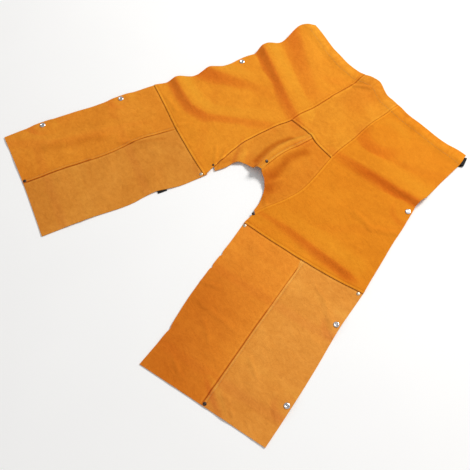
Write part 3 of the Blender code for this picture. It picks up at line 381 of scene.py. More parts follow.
def fold_height(fold, x, y):
    share, past, left = place_by_path(array(fold.path), x, y)
    height = fold.height0 + (fold.height1 - fold.height0) * share
    soft = hump(left, np.where(left > 0, fold.left_side, fold.right_side))
    right = soft + (crest(left, fold.right_side) - soft) * fold.sharp
    return height * np.where(left > 0, soft, right) * hump(past, FOLD_FADE)


def crease_height(x, y):
    rows = CREASE[::-1]
    knots = [row.y for row in rows]
    height = spline(knots, [row.height for row in rows], y)
    right_side = spline(knots, [row.right_side for row in rows], y)
    left_side = spline(knots, [row.left_side for row in rows], y)
    off = x - CREASE_X
    width = np.where(off > 0, left_side, right_side)
    past = np.maximum(rows[0].y - y, 0)
    return height * hump(off, width) * hump(past, FOLD_FADE)


def dome_height(x, y):
    off_y = y - DOME_Y
    length = np.where(off_y > 0, DOME_TO_WAIST, DOME_TO_LEGS)
    return DOME_HEIGHT * hump(np.hypot((x - DOME_X) / DOME_HALF_WIDTH, off_y / length), 1)


def distance_to_path(path, x, y):
    nearest = np.full(np.shape(x), np.inf)
    for start, end in zip(path[:-1], path[1:]):
        along = end - start
        share = ((x - start[0]) * along[0] + (y - start[1]) * along[1]) / (along @ along)
        share = np.clip(share, 0, 1)
        off = np.hypot(x - start[0] - share * along[0], y - start[1] - share * along[1])
        nearest = np.minimum(nearest, off)
    return nearest


def plateau(distance, flat, fade):
    return smooth((flat + fade - distance) / fade)


Rise = namedtuple("Rise", "path height flat fade")


def lift(x, y):
    """Height of the leather's underside at rest, in millimetres."""
    x = np.asarray(x, float)
    y = np.asarray(y, float)
    heights = [fold_height(fold, x, y) for fold in FOLDS]
    heights.append(crease_height(x, y))
    heights.append(dome_height(x, y))
    for rise in RISES:
        heights.append(rise.height * plateau(distance_to_path(rise.path, x, y), rise.flat, rise.fade))
    total = sum(height**BLEND for height in heights) ** (1 / BLEND)
    return np.where(total < FLAT_BELOW, 0, total)


def to_metres(points):
    return (np.asarray(points, float) + [0, DATUM_Y, 0]) * MM


def patch(first, last, top, bottom, wave=0):
    """A grid between four edges. first and last are its side columns, top and bottom its end rows."""
    down = lengths_along(last)
    down = (down / down[-1])[:, None, None]
    across = lengths_along(top)
    across = (across / across[-1])[None, :, None]
    chord = first[0] + (first[-1] - first[0]) * down[:, 0]
    sides = (1 - across) * chord[:, None] + across * last[:, None]
    sides = sides + (1 - across) ** (1 + wave) * (first - chord)[:, None]
    ends = (1 - down) * (top - (1 - across[0]) * top[0] - across[0] * top[-1])[None]
    ends = ends + down * (bottom - (1 - across[0]) * bottom[0] - across[0] * bottom[-1])[None]
    return sides + ends


def after_start(count):
    """Even shares of a way in so many steps, without its start."""
    return np.linspace(0, 1, count + 1)[1:]


def down_seam(seam):
    """Points down a centre seam: the casing's own rows, then even rows to the gusset."""
    curve = dense(seam)
    rest = np.linspace(CASING_ROWS[-1], lengths_along(curve)[-1], CENTRE_ROWS + 1)[1:]
    return at_distances(curve, np.concatenate([CASING_ROWS, rest]))


def outer_points(edge, inner, casing_rows):
    """The outer side of a thigh: the casing's rows, then in step with the inner side."""
    edge = dense(edge)
    length = lengths_along(edge)[-1]
    down = lengths_along(inner)[len(casing_rows) - 1 :]
    start = casing_rows[-1]
    rest = start + (down - down[0]) * (length - start) / (down[-1] - down[0])
    return at_distances(edge, np.concatenate([casing_rows[:-1], rest]))


def thigh_grid(waist, sides, outer, knee, casing_rows):
    """Plan grid of a thigh panel, its first column the outer edge and its last the sewn one."""
    seam, arc, free = sides
    arc_rows = at_shares(dense(arc), after_start(ARC_ROWS))
    free_rows = at_shares(dense(free), after_start(INNER_THIGH_ROWS))
    inner = np.concatenate([down_seam(seam), arc_rows, free_rows])
    top, bottom = (at_shares(dense(edge), THIGH_COLUMNS) for edge in (waist, knee))
    return patch(outer_points(outer, inner, casing_rows), inner, top, bottom, wave=3)


def centre_grid():
    """Plan grid of the centre panel, from the right seam over the crease to the left seam."""
    ends = halved(WAIST_CENTRE, CREASE_X), halved(GUSSET_TOP, GUSSET_CENTRE[0].x)
    return patch(down_seam(CENTRE_SEAM_RIGHT), down_seam(CENTRE_SEAM_LEFT), *ends)


def halved(edge, middle):
    """Points along a cross edge, evenly spaced on each side of its middle."""
    curve = dense(edge)
    crease = float(np.interp(middle, curve[:, 0], lengths_along(curve)))
    right = np.linspace(0, crease, CENTRE_HALF_COLUMNS + 1)
    left = np.linspace(crease, lengths_along(curve)[-1], CENTRE_HALF_COLUMNS + 1)
    return at_distances(curve, np.concatenate([right, left[1:]]))


def gusset_grid(arc, crotch_edge, top):
    """Plan grid of half the gusset, from its arc to the centre seam and then the crotch edge."""
    outer = at_shares(dense(arc), np.linspace(0, 1, ARC_ROWS + 1))
    seam = at_shares(dense(GUSSET_CENTRE), np.linspace(0, 1, SEAM_SHARE_OF_ARC + 1))
    free = at_shares(dense(crotch_edge), after_start(ARC_ROWS - SEAM_SHARE_OF_ARC))
    inner = np.concatenate([seam, free])
    end = outer[-1] + (inner[-1] - outer[-1]) * np.linspace(0, 1, len(top))[:, None]
    return patch(outer, inner, top, end)


def shin_rows(curve, straps):
    """Distances down one edge of a shin, with rows at each strap's sides."""
    rows = [0]
    for middle, count in zip(straps, SHIN_ROWS_BETWEEN):
        marks = [middle + off for off in STRAP_ROWS]
        rows += list(np.linspace(rows[-1], marks[0], count + 1)[1:-1]) + marks
    return np.append(rows, np.linspace(rows[-1], lengths_along(curve)[-1], SHIN_ROWS_BETWEEN[-1] + 1)[1:])


def shin_grids(edges, straps):
    """Plan grids of a leg's outer and inner shin panels, both running from outer edge to inner."""
    outer, seam, inner, knee = (dense(edge) for edge in edges)
    outer_mm = shin_rows(outer, [strap.outer_mm for strap in straps])
    inner_mm = shin_rows(inner, [strap.inner_mm for strap in straps])
    middle = at_shares(seam, (outer_mm / outer_mm[-1] + inner_mm / inner_mm[-1]) / 2)
    top = at_shares(knee, THIGH_COLUMNS)
    bottom = at_shares(dense([edge[-1] for edge in edges[:3]]), THIGH_COLUMNS)
    split = SHIN_SEAM_COLUMN
    middle[0] = top[split]
    middle[-1] = bottom[split]
    outer_grid = patch(at_distances(outer, outer_mm), middle, top[: split + 1], bottom[: split + 1])
    inner_grid = patch(middle, at_distances(inner, inner_mm), top[split:], bottom[split:])
    return outer_grid, inner_grid


def shin_strap_path(strap):
    """The plan line of a strap behind a shin: from its sewn end past the snap to its tip."""
    edges = SHIN_EDGES[strap.side]
    outer = at_distances(dense(edges.outer), [strap.outer_mm])[0]
    inner = at_distances(dense(edges.inner), [strap.inner_mm])[0]
    along = unit(outer - inner)
    return np.array([inner - along * strap.loop, outer + along * strap.tip]), outer - along * SNAP_INSET


def bend_through(start, via, end, count):
    """A plan curve that leaves start towards via and reaches end from it."""
    t = np.linspace(0, 1, count)[:, None]
    return (1 - t) ** 2 * np.array(start) + 2 * t * (1 - t) * np.array(via) + t**2 * np.array(end)


def thigh_strap_path(strap):
    """A gentle curve from where the strap is sewn in to its tip just past the outer edge."""
    sewn = np.array(strap.sewn, float)
    via = np.array(strap.via, float)
    snap = np.array(strap.snap, float)
    tip = snap + unit(snap - via) * (SNAP_INSET + strap.tip)
    return bend_through(sewn, via, tip, THIGH_STRAP_STEPS)


def tail_path(end):
    middle = (np.array(end.fold_top) + np.array(end.fold_foot)) / 2
    return bend_through(middle, end.via, end.end, TAIL_SECTIONS)


def spot_at(point):
    """A path so short that what rises on it is round."""
    place = np.array(point, float)
    return np.array([place, place + SPOT])


def low_rises():
    """What lies under the leather and lifts it: straps, snap sockets, the belt's tails and its buckle."""
    over_strap = WEBBING + GAP
    over_snap = over_strap + SOCKET_HEIGHT + GAP
    rises = []
    for strap in SHIN_STRAPS:
        path, snap = shin_strap_path(strap)
        rises.append(Rise(path, over_strap, STRAP_FLAT, STRAP_FADE))
        rises.append(Rise(spot_at(snap), over_snap, SNAP_FLAT, SNAP_FADE))
    for strap in THIGH_STRAPS:
        rises.append(Rise(thigh_strap_path(strap), over_strap, THIGH_STRAP_FLAT, THIGH_STRAP_FADE))
        rises.append(Rise(spot_at(strap.snap), over_snap, THIGH_SNAP_FLAT, THIGH_SNAP_FADE))
    for end, length, height in (
        (BELT_END_RIGHT, BUCKLE_PLUG_LENGTH, BUCKLE_PLUG_HEIGHT),
        (BELT_END_LEFT, BUCKLE_SOCKET_LENGTH, BUCKLE_SOCKET_HEIGHT),
    ):
        path = tail_path(end)
        rises.append(Rise(path, over_strap, THIGH_STRAP_FLAT, THIGH_STRAP_FADE))
        onward = unit(path[-1] - path[-2])
        reach = np.array([[BUCKLE_END_INSET], [length - 2 * BUCKLE_END_INSET]])
        rises.append(Rise(path[-1] + onward * reach, height + GAP, BUCKLE_FLAT, BUCKLE_FADE))
    return rises


RISES = low_rises()

RNG = np.random.default_rng(7)

# The camera's place and axes in metres, the floor and the even light from all round
View = namedtuple("View", "place right back")
CAMERA = View((0.72721, -0.66653, 1.51581), (0.64945, 0.76040, 0.0), (0.363897, -0.310799, 0.878056))
FLOOR_WIDTH = 12.0
FLOOR_DROP = 0.0004
SKY_STRENGTH = 0.42

# Fine mesh: its step, how it closes in on a seam, and the step that its slopes are taken over
STEP = 3.8
SEAM_STEPS = (0, 0.6, 1.2, 2.0, 3.0, 4.2, 5.4, 6.6, 8.2, 10.5)
FINE_SLOPE_STEP = 0.8

# Lapped seams: the upper panel lies on the lower one's pared allowance and is stitched through it
PARED = 1.3
PARED_START = 0.85
PARED_FADE = 0.6
LAP = LEATHER - PARED + 0.12
ALLOWANCE = 9.0
ALLOWANCE_SHARES = (1, 0.66, 0.33)
LEAST_ALLOWANCE = 0.02
LAP_FLAT = ALLOWANCE + 0.5
LAP_RAMP = 13.0
SKIVED = 0.42
SKIVE_WIDTH = 3.4
STITCH_INSET = 5.4
STITCH_DIP = 0.22
STITCH_DIP_WIDTH = 2.4
SEWN_FROM = 3.0
SEWN_TO = 2.5
SEWN_BELOW_CASING = 4.0
SEWN_FROM_RIGHT_HIP = 18.0
STITCH_PITCH = 4.2
STITCH_LENGTH = 3.1
THREAD_RADIUS = 0.42
THREAD_SIDES = 6

# One stitch from end to end, as shares of its length and of the thread's radius
Turn = namedtuple("Turn", "share size rise")
STITCH = (
    Turn(-0.5, 0.3, -0.6),
    Turn(-0.34, 0.9, 0.2),
    Turn(0, 1.0, 0.45),
    Turn(0.34, 0.9, 0.2),
    Turn(0.5, 0.3, -0.6),
)

# The front wall over the casing: how far it stands off the surface at each depth below the waist, with the
# sewn groove at its foot
CASING_STITCH_DEPTH = 29.0
StandOff = namedtuple("StandOff", "depth rise")
CASING_FRONT = (
    StandOff(0, CASING_RISE),
    StandOff(CASING_DEPTH - 10, CASING_RISE),
    StandOff(CASING_STITCH_DEPTH - 0.6, LEATHER + 1.1),
    StandOff(CASING_STITCH_DEPTH + 0.6, LEATHER + 1.0),
    StandOff(32, LEATHER + 0.9),
    StandOff(80, 0),
)
CASING_EASE = 6.0
BEND_STEPS = 9
BACK_TRIM_REACH = 2.5

# Each panel's hide: its linear colour, which way its fine creases run in radians from X, and how
# mottled it is
Hide = namedtuple("Hide", "tone turn mottle")
HIDES = {
    "thigh_right": Hide((0.79, 0.276, 0.0190), 0.5, 0.85),
    "thigh_left": Hide((0.77, 0.250, 0.0135), 0.9, 0.70),
    "centre_panel": Hide((0.78, 0.284, 0.0210), 1.3, 1.0),
    "gusset_right": Hide((0.75, 0.262, 0.0230), 1.4, 0.95),
    "gusset_left": Hide((0.74, 0.235, 0.0170), 0.2, 0.95),
    "shin_outer_right": Hide((0.76, 0.259, 0.0225), 1.2, 1.0),
    "shin_inner_right": Hide((0.71, 0.268, 0.0350), 1.1, 1.0),
    "shin_outer_left": Hide((0.80, 0.310, 0.0470), -1.0, 0.9),
    "shin_inner_left": Hide((0.82, 0.270, 0.0260), -0.2, 0.9),
}

# The seams as close curves, and as coarser lines to measure from
SEAMS = {
    "centre_right": dense(CENTRE_SEAM_RIGHT),
    "centre_left": dense(CENTRE_SEAM_LEFT),
    "arc_right": dense(GUSSET_ARC_RIGHT),
    "arc_left": dense(GUSSET_ARC_LEFT),
    "gusset_top": dense(GUSSET_TOP),
    "gusset_centre": dense(GUSSET_CENTRE),
    "knee_right": dense(KNEE_RIGHT),
    "knee_left": dense(KNEE_LEFT),
    "shin_right": dense(SHIN_SEAM_RIGHT),
    "shin_left": dense(SHIN_SEAM_LEFT),
}
SEAM_LINES = {seam: curve[::3] for seam, curve in SEAMS.items()}
# Each panel's seams where it lies on top, those already double under it, and those where it lies under
Laps = namedtuple("Laps", "upper doubled under")
LAPS = {
    "thigh_right": Laps(("centre_right", "arc_right", "knee_right"), ("gusset_top", "shin_right"), ()),
    "thigh_left": Laps(("centre_left", "arc_left", "knee_left"), ("gusset_top", "shin_left"), ()),
    "centre_panel": Laps(("gusset_top",), ("gusset_centre",), ("centre_right", "centre_left")),
    "gusset_right": Laps(("gusset_centre",), (), ("arc_right", "gusset_top")),
    "gusset_left": Laps((), (), ("arc_left", "gusset_top", "gusset_centre")),
    "shin_outer_right": Laps(("shin_right",), (), ("knee_right",)),
    "shin_outer_left": Laps(("shin_left",), (), ("knee_left",)),
    "shin_inner_right": Laps((), (), ("knee_right", "shin_right")),
    "shin_inner_left": Laps((), (), ("knee_left", "shin_left")),
}

# Painted shade in the seam grooves and the stitch rows' grooves, and painted highlight beside the seams, as
# shares of the tone. Less painted shade goes on the seams that the panel above them already shades.
SEAM_PAINTED_SHADE = 0.62
SHADED_SEAM_PAINTED_SHADE = 0.1
SHADED_SEAMS = ("knee_right", "knee_left", "gusset_top")
SEAM_PAINTED_SHADE_FLAT = 0.5
SEAM_PAINTED_SHADE_FADE = 1.2
SEAM_PAINTED_HIGHLIGHT = 0.17
SEAM_PAINTED_HIGHLIGHT_AT = 2.6
SEAM_PAINTED_HIGHLIGHT_WIDTH = 3.2
UNDER_PAINTED_HIGHLIGHT = 0.10
UNDER_PAINTED_HIGHLIGHT_AT = 5.0
ROW_PAINTED_SHADE = 0.08
ROW_PAINTED_SHADE_WIDTH = 2.2
# How much more a change of tone shows in green and in blue than in red
TONE_POWERS = (0.75, 1.45, 2.3)
# Painted shade on slopes facing away from the light beyond the waist: redder, less green; less red facing it
SLOPE_SHADE_FULL = 0.4
SLOPE_SHADE_REACH = 3.0
SLOPE_SHADE_RED = 0.14
SLOPE_SHADE_GREEN = 0.16

# Fine creases too small for the solids: each one's path, its height over the hide and its half width
Wrinkle = namedtuple("Wrinkle", "path height width")
WRINKLES = (
    Wrinkle(trace((-262, -101), (-246, -76)), 2.2, 7),
    Wrinkle(trace((-350, -66), (-309, -74)), 1.6, 9),
    Wrinkle(trace((-296, -272), (-280, -217), (-244, -160)), 1.2, 10),
    Wrinkle(trace((371, -157), (427, -189), (458, -210)), 1.4, 11),
    Wrinkle(trace((336, -150), (357, -154)), 1.2, 7),
    Wrinkle(trace((368, -389), (408, -406)), 1.4, 7),
    Wrinkle(trace((393, -490), (420, -504)), 1.1, 6),
    Wrinkle(trace((405, -488), (438, -502)), 1.1, 6),
    Wrinkle(trace((131, -357), (177, -332)), 1.2, 9),
    Wrinkle(trace((180, -388), (275, -374)), 1.0, 12),
    Wrinkle(trace((227, -411), (273, -433)), 1.0, 10),
    Wrinkle(trace((255, -521), (290, -534)), 1.3, 8),
    Wrinkle(trace((-55, 294), (-50, 361), (-5, 379)), 2.0, 9),
    Wrinkle(trace((-430, -408), (-402, -346), (-372, -286)), 2.6, 16),
    Wrinkle(trace((-319, -257), (-286, -214), (-253, -154)), 1.4, 8),
    Wrinkle(trace((-90, -86), (-69, -30)), 2.4, 9),
    Wrinkle(trace((255, 68), (310, 66), (361, 104)), 1.4, 13),
    Wrinkle(trace((-86, -100), (-110, -62)), 1.6, 7),
    Wrinkle(trace((-100, -104), (-134, -72)), 1.6, 7),
    Wrinkle(trace((92, -92), (66, -74)), 1.0, 9),
    Wrinkle(trace((58, -8), (38, -52)), 1.6, 9),
)

# Painted shade and painted highlight, with some uneven dye: darker in seams, fold hollows and towards the
# hems,
# lighter on the lit sides of folds. Each: a path, how far it reaches and how strong it is
Shade = namedtuple("Shade", "path width strength")
PAINTED_SHADING = (
    Shade(CENTRE_SEAM_RIGHT, 4, -0.30),
    Shade(SHIN_SEAM_RIGHT, 4, -0.24),
    Shade(trace((-326, -350), (-343, -405), (-378, -527)), 4, -0.30),
    Shade(trace((304, -280), (318, -330), (347, -432), (377, -540)), 4, -0.30),
    Shade(trace((-30, -20), (-34, 4), (-39, 37), (-38, 69), (-26, 104)), 15, -0.35),
    Shade(trace((34, -16), (28, 20), (20, 50), (24, 84), (30, 104)), 22, -0.31),
    Shade(trace((20, -30), (56, -52), (66, -80)), 22, -0.15),
    Shade(trace((-18, -10), (-22, 40), (-18, 90), (-4, 128)), 9, 0.08),
    Shade(trace((-95, -96), (-84, -66)), 14, -0.12),
    Shade(trace((44, -60), (56, -40)), 13, -0.10),
    Shade(trace((38, -52), (58, 0)), 8, 0.05),
    Shade(trace((-70, -50), (-70, -10)), 14, 0.07),
    Shade(trace((171, 168), (231, 196), (300, 200)), 26, -0.07),
    Shade(trace((-364, 80), (-307, 92), (-258, 122)), 32, -0.06),
    Shade(trace((190, -488), (222, -494)), 40, -0.07),
    Shade(trace((261, -146), (313, -188)), 34, 0.05),
    Shade(trace((303, -310), (337, -325)), 30, 0.05),
    Shade(trace((38, 343), (71, 328)), 26, 0.07),
    Shade(trace((-35, 290), (10, 250), (50, 215)), 40, 0.035),
    Shade(trace((120, 150), (171, 168), (231, 186), (290, 186), (330, 196)), 16, -0.06),
    Shade(trace((110, 180), (208, 205), (271, 213), (330, 224)), 7, 0.06),
    Shade(trace((180, -400), (290, -600)), 190, -0.24),
    Shade(trace((420, -480), (380, -580)), 90, -0.10),
    Shade(trace((240, -260), (280, -330)), 70, -0.03),
    Shade(trace((430, -330), (500, -470)), 60, -0.035),
    Shade(trace((-470, -200), (-330, -180)), 50, 0.03),
    Shade(trace((-180, 260), (-80, 330)), 60, 0.03),
    Shade(trace((-440, -424), (-400, -352), (-368, -284)), 28, -0.10),
    Shade(trace((-451, -402), (-417, -321), (-387, -276), (-348, -220)), 24, 0.05),
    Shade(trace((-414, -196), (-385, -140), (-347, -128)), 36, 0.04),
    Shade(trace((-417, -500), (-328, -526), (-242, -550)), 70, -0.09),
    Shade(trace((-183, -330), (-174, -232)), 40, -0.05),
    Shade(trace((-242, -214), (-204, -158), (-157, -150)), 26, 0.05),
    Shade(trace((-319, -262), (-286, -219), (-253, -159)), 9, -0.10),
    Shade(trace((184, -551), (276, -540), (358, -533)), 60, -0.05),
    Shade(trace((359, -165), (418, -190)), 14, 0.03),
    Shade(trace((-55, 294), (-50, 361)), 12, 0.04),
    Shade(trace((-50, 372), (-5, 382)), 12, -0.05),
)

# Nicks in the cut edges: where, how far along the edge each one reaches, and how deep it is
Nick = namedtuple("Nick", "panel x y reach depth")
NICKS = (
    Nick("shin_inner_left", 118, -265, 8, 4.5),
    Nick("shin_inner_left", 127, -306, 8, 3.5),
    Nick("shin_inner_left", 190, -486, 14, 4),
    Nick("shin_inner_right", -192, -475, 14, -3),
)

# Each piece of hide as it was cut, in metres: across, along and the area of its outline, and the leg straps
# that it lies on. The thigh pieces and the centre panel include the turning of the waist casing, and every
# piece its seam allowance.
Cut = namedtuple("Cut", "width length area straps")
CUTS = {
    "thigh_right": Cut(0.345, 0.610, 0.156, ("thigh_right",)),
    "thigh_left": Cut(0.350, 0.605, 0.157, ("thigh_left",)),
    "centre_panel": Cut(0.180, 0.310, 0.049, ()),
    "gusset_right": Cut(0.120, 0.288, 0.0255, ()),
    "gusset_left": Cut(0.133, 0.287, 0.0275, ()),
    "shin_outer_right": Cut(0.176, 0.452, 0.0756, ("knee_right", "shin_right")),
    "shin_inner_right": Cut(0.194, 0.456, 0.0825, ("knee_right", "shin_right")),
    "shin_outer_left": Cut(0.177, 0.448, 0.0747, ("knee_left", "shin_left")),
    "shin_inner_left": Cut(0.190, 0.455, 0.0819, ("knee_left", "shin_left")),
}

# Sewing rows: the panel on top, its seam, and a plan point on the panel's side of it
Row = namedtuple("Row", "panel seam towards")
SEWING = (
    Row("thigh_right", "centre_right", (-200, 300)),
    Row("thigh_right", "arc_right", (-250, 0)),
    Row("thigh_right", "knee_right", (-200, 100)),
    Row("thigh_left", "centre_left", (200, 300)),
    Row("thigh_left", "arc_left", (250, 0)),
    Row("thigh_left", "knee_left", (200, 100)),
    Row("centre_panel", "gusset_top", (5, 300)),
    Row("gusset_right", "gusset_centre", (-60, 60)),
    Row("shin_outer_right", "shin_right", (-500, -300)),
    Row("shin_outer_left", "shin_left", (500, -300)),
)

# Puckers that the sewing draws up: the line they cross, how far they reach on each side, pitch and height
Pucker = namedtuple("Pucker", "path middle width pitch height")
# Painted light on the puckers: their crests lighter, as a share of the tone per millimetre of height
PUCKER_PAINTED_LIGHT = 0.04
PUCKER_SWING = 2.1
PUCKER_BEAT = 0.31
PUCKERS = (
    Pucker(WAIST_RIGHT, 20, 22, 23, 1.9),
    Pucker(WAIST_CENTRE, 20, 22, 19, 1.5),
    Pucker(WAIST_LEFT, 20, 22, 21, 1.9),
)

# Slight unevenness of the hide, and how gently it meets the floor
Wave = namedtuple("Wave", "angle rate phase height")
WAVES = [
    Wave(RNG.uniform(0, math.pi), 2 * math.pi / length, RNG.uniform(0, 2 * math.pi), height)
    for length, height, count in ((120, 0.30, 5), (60, 0.14, 6), (30, 0.05, 7))
    for _ in range(count)
]
RIPPLE_EASE = 0.04
RIPPLE_SUNK = 0.1


def ripple(x, y):
    total = np.zeros(np.shape(x))
    for wave in WAVES:
        run = x * math.cos(wave.angle) + y * math.sin(wave.angle)
        total = total + wave.height * np.sin(run * wave.rate + wave.phase)
    return 0.5 * (total + np.sqrt(total**2 + RIPPLE_EASE)) - RIPPLE_SUNK


def wrinkle_height(x, y):
    total = np.zeros(np.shape(x))
    for wrinkle in WRINKLES:
        _, past, left = place_by_path(array(wrinkle.path), x, y)
        total = np.maximum(total, wrinkle.height * hump(left, wrinkle.width) * hump(past, 2 * wrinkle.width))
    return total


def pucker_height(x, y):
    total = np.zeros(np.shape(x))
    for pucker in PUCKERS:
        line = dense(pucker.path)[::3]
        share = place_by_path(line, x, y)[0]
        turns = 2 * math.pi * share * lengths_along(line)[-1] / pucker.pitch
        wave = 0.5 + 0.5 * np.sin(turns + PUCKER_SWING * np.sin(turns * PUCKER_BEAT))
        near = hump(distance_to_path(line, x, y) - pucker.middle, pucker.width)
        total = np.maximum(total, pucker.height * wave * near)
    return total


def surface(x, y):
    return lift(x, y) + np.maximum(ripple(x, y), 0) + wrinkle_height(x, y) + pucker_height(x, y)


def from_seam(seam, x, y):
    return distance_to_path(SEAM_LINES[seam], x, y)


def nicked(name, grid):
    """A panel's plan grid with its nicks drawn in towards the panel's middle."""
    inside = grid.reshape(-1, 2).mean(axis=0)
    for nick in NICKS:
        if nick.panel == name:
            spot = np.array([nick.x, nick.y], float)
            share = hump(np.linalg.norm(grid - spot, axis=2), nick.reach)
            grid = grid + share[..., None] * unit(inside - spot) * nick.depth
    return grid


def tone_with_painted_light(name, x, y):
    """Share of the hide's colour: painted shade and highlight at seams, folds and puckers, and uneven dye."""
    total = np.ones(np.shape(x))
    for seam in LAPS[name].upper:
        away = from_seam(seam, x, y)
        # Painted highlight just off the edge where this panel lies on top
        total = total * (1 + SEAM_PAINTED_HIGHLIGHT * hump(away - SEAM_PAINTED_HIGHLIGHT_AT, SEAM_PAINTED_HIGHLIGHT_WIDTH))
        # Painted shade along the stitch row's groove
        total = total * (1 - ROW_PAINTED_SHADE * hump(away - STITCH_INSET - ROW_PAINTED_SHADE_WIDTH, ROW_PAINTED_SHADE_WIDTH))
    for seam in LAPS[name].under:
        away = from_seam(seam, x, y)
        # Painted shade in the seam groove where this panel lies under, less where the panel above shades it
        seam_shade = SHADED_SEAM_PAINTED_SHADE if seam in SHADED_SEAMS else SEAM_PAINTED_SHADE
        total = total * (1 - seam_shade * plateau(away, SEAM_PAINTED_SHADE_FLAT, SEAM_PAINTED_SHADE_FADE))
        # Painted highlight a little way off the seam
        total = total * (1 + UNDER_PAINTED_HIGHLIGHT * hump(away - UNDER_PAINTED_HIGHLIGHT_AT, SEAM_PAINTED_HIGHLIGHT_WIDTH))
    # Painted shade and painted highlight from the table of paths
    for shade in PAINTED_SHADING:
        total = total * (1 + shade.strength * hump(distance_to_path(array(shade.path), x, y), shade.width))
    # Painted highlight on the pucker crests
    total = total * (1 + PUCKER_PAINTED_LIGHT * pucker_height(x, y))
    # Painted shade colour by slope: which way the hide slopes against the key light
    rise = (lift(x, y + SLOPE_SHADE_REACH) - lift(x, y - SLOPE_SHADE_REACH)) / (2 * SLOPE_SHADE_REACH)
    slope_shade = np.clip(rise / SLOPE_SHADE_FULL, -1, 1)
    colour = total[..., None] ** np.array(TONE_POWERS)
    colour[..., 0] *= 1 + SLOPE_SHADE_RED * slope_shade
    colour[..., 1] *= 1 - SLOPE_SHADE_GREEN * np.maximum(slope_shade, 0)
    return colour


def thickness(name, x, y):
    """The leather's thickness: bevelled where it lies on top at a seam, pared down where it lies under."""
    thin = np.zeros(np.shape(x))
    for seam in LAPS[name].under:
        left = place_by_path(SEAM_LINES[seam], x, y)[2]
        inside = left * np.sign(np.mean(left))
        thin = np.maximum(thin, PARED * (1 - smooth(PARED_START + inside / PARED_FADE)))
    for seam in LAPS[name].upper:
        away = from_seam(seam, x, y)
        thin = np.maximum(thin, SKIVED * plateau(away, 0, SKIVE_WIDTH))
    return LEATHER - thin


def fine_field(points, offset):
    """Plan points on the leather's fine surface, out along its normal by offset."""
    x = points[..., 0]
    y = points[..., 1]
    step = FINE_SLOPE_STEP
    slope_x = (surface(x + step, y) - surface(x - step, y)) / (2 * step)
    slope_y = (surface(x, y + step) - surface(x, y - step)) / (2 * step)
    normal = unit(np.stack([-slope_x, -slope_y, np.ones_like(x)], axis=-1))
    base = np.stack([x, y, surface(x, y)], axis=-1)
    return base + normal * np.asarray(offset, float)[..., None], normal


def subdivided(knots, near_first=False, near_last=False):
    """Fine knots between coarse ones, closer together by a seam."""
    fine = [knots[:1]]
    for a, b in zip(knots[:-1], knots[1:]):
        fine.append(np.linspace(a, b, max(1, math.ceil((b - a) / STEP)) + 1)[1:])
    fine = np.concatenate(fine)
    close = np.array(SEAM_STEPS)
    if near_first:
        fine = np.concatenate([knots[0] + close, fine[fine > knots[0] + close[-1] + 1]])
    if near_last:
        fine = np.concatenate([fine[fine < knots[-1] - close[-1] - 1], knots[-1] - close[::-1]])
    return fine


def mean_run(grid, axis):
    steps = np.linalg.norm(np.diff(grid, axis=axis), axis=2).mean(axis=1 - axis)
    return np.concatenate([[0], np.cumsum(steps)])


def refined(grid, near=()):
    """A fine grid through a coarse one, and its rows' places among the coarse rows."""
    row_knots = mean_run(grid, 0)
    column_knots = mean_run(grid, 1)
    rows = subdivided(row_knots, "first_row" in near, "last_row" in near)
    columns = subdivided(column_knots, "first_column" in near, "last_column" in near)
    tall = spline(row_knots, grid.reshape(len(grid), -1), rows).reshape(len(rows), -1, 2)
    wide = np.swapaxes(tall, 0, 1).reshape(grid.shape[1], -1)
    fine = np.swapaxes(spline(column_knots, wide, columns).reshape(len(columns), -1, 2), 0, 1)
    return fine, np.interp(rows, row_knots, np.arange(len(row_knots)))


def with_allowance(grid, side, sewn=1.0):
    """The grid with rows or columns added on one side that reach under the panel next to it."""
    if side.endswith("column"):
        return np.swapaxes(with_allowance(np.swapaxes(grid, 0, 1), side.replace("column", "row"), sewn), 0, 1)
    if side == "last_row":
        return with_allowance(grid[::-1], "first_row", sewn)[::-1]
    outward = unit(grid[0] - grid[1])
    reach = np.broadcast_to(np.maximum(sewn, LEAST_ALLOWANCE), len(outward))[:, None] * ALLOWANCE
    extra = [grid[0] + outward * reach * share for share in ALLOWANCE_SHARES]
    return np.concatenate([np.array(extra), grid])


def lap_offset(name, x, y):
    """How far a panel stands off the surface where it laps over its neighbours."""
    laps = LAPS[name]
    total = np.zeros(np.shape(x))
    dip = np.zeros(np.shape(x))
    for seam in laps.upper:
        away = from_seam(seam, x, y)
        total = np.maximum(total, LAP * plateau(away, LAP_FLAT, LAP_RAMP))
        dip = np.maximum(dip, STITCH_DIP * hump(away - STITCH_INSET, STITCH_DIP_WIDTH))
    for seam in laps.doubled:
        total = total + LAP * plateau(from_seam(seam, x, y), LAP_FLAT, LAP_RAMP)
    return total - dip


def link_object(name, mesh, *materials):
    for material in materials:
        mesh.materials.append(material)
    made = bpy.data.objects.new(name, mesh)
    bpy.context.collection.objects.link(made)
    return made


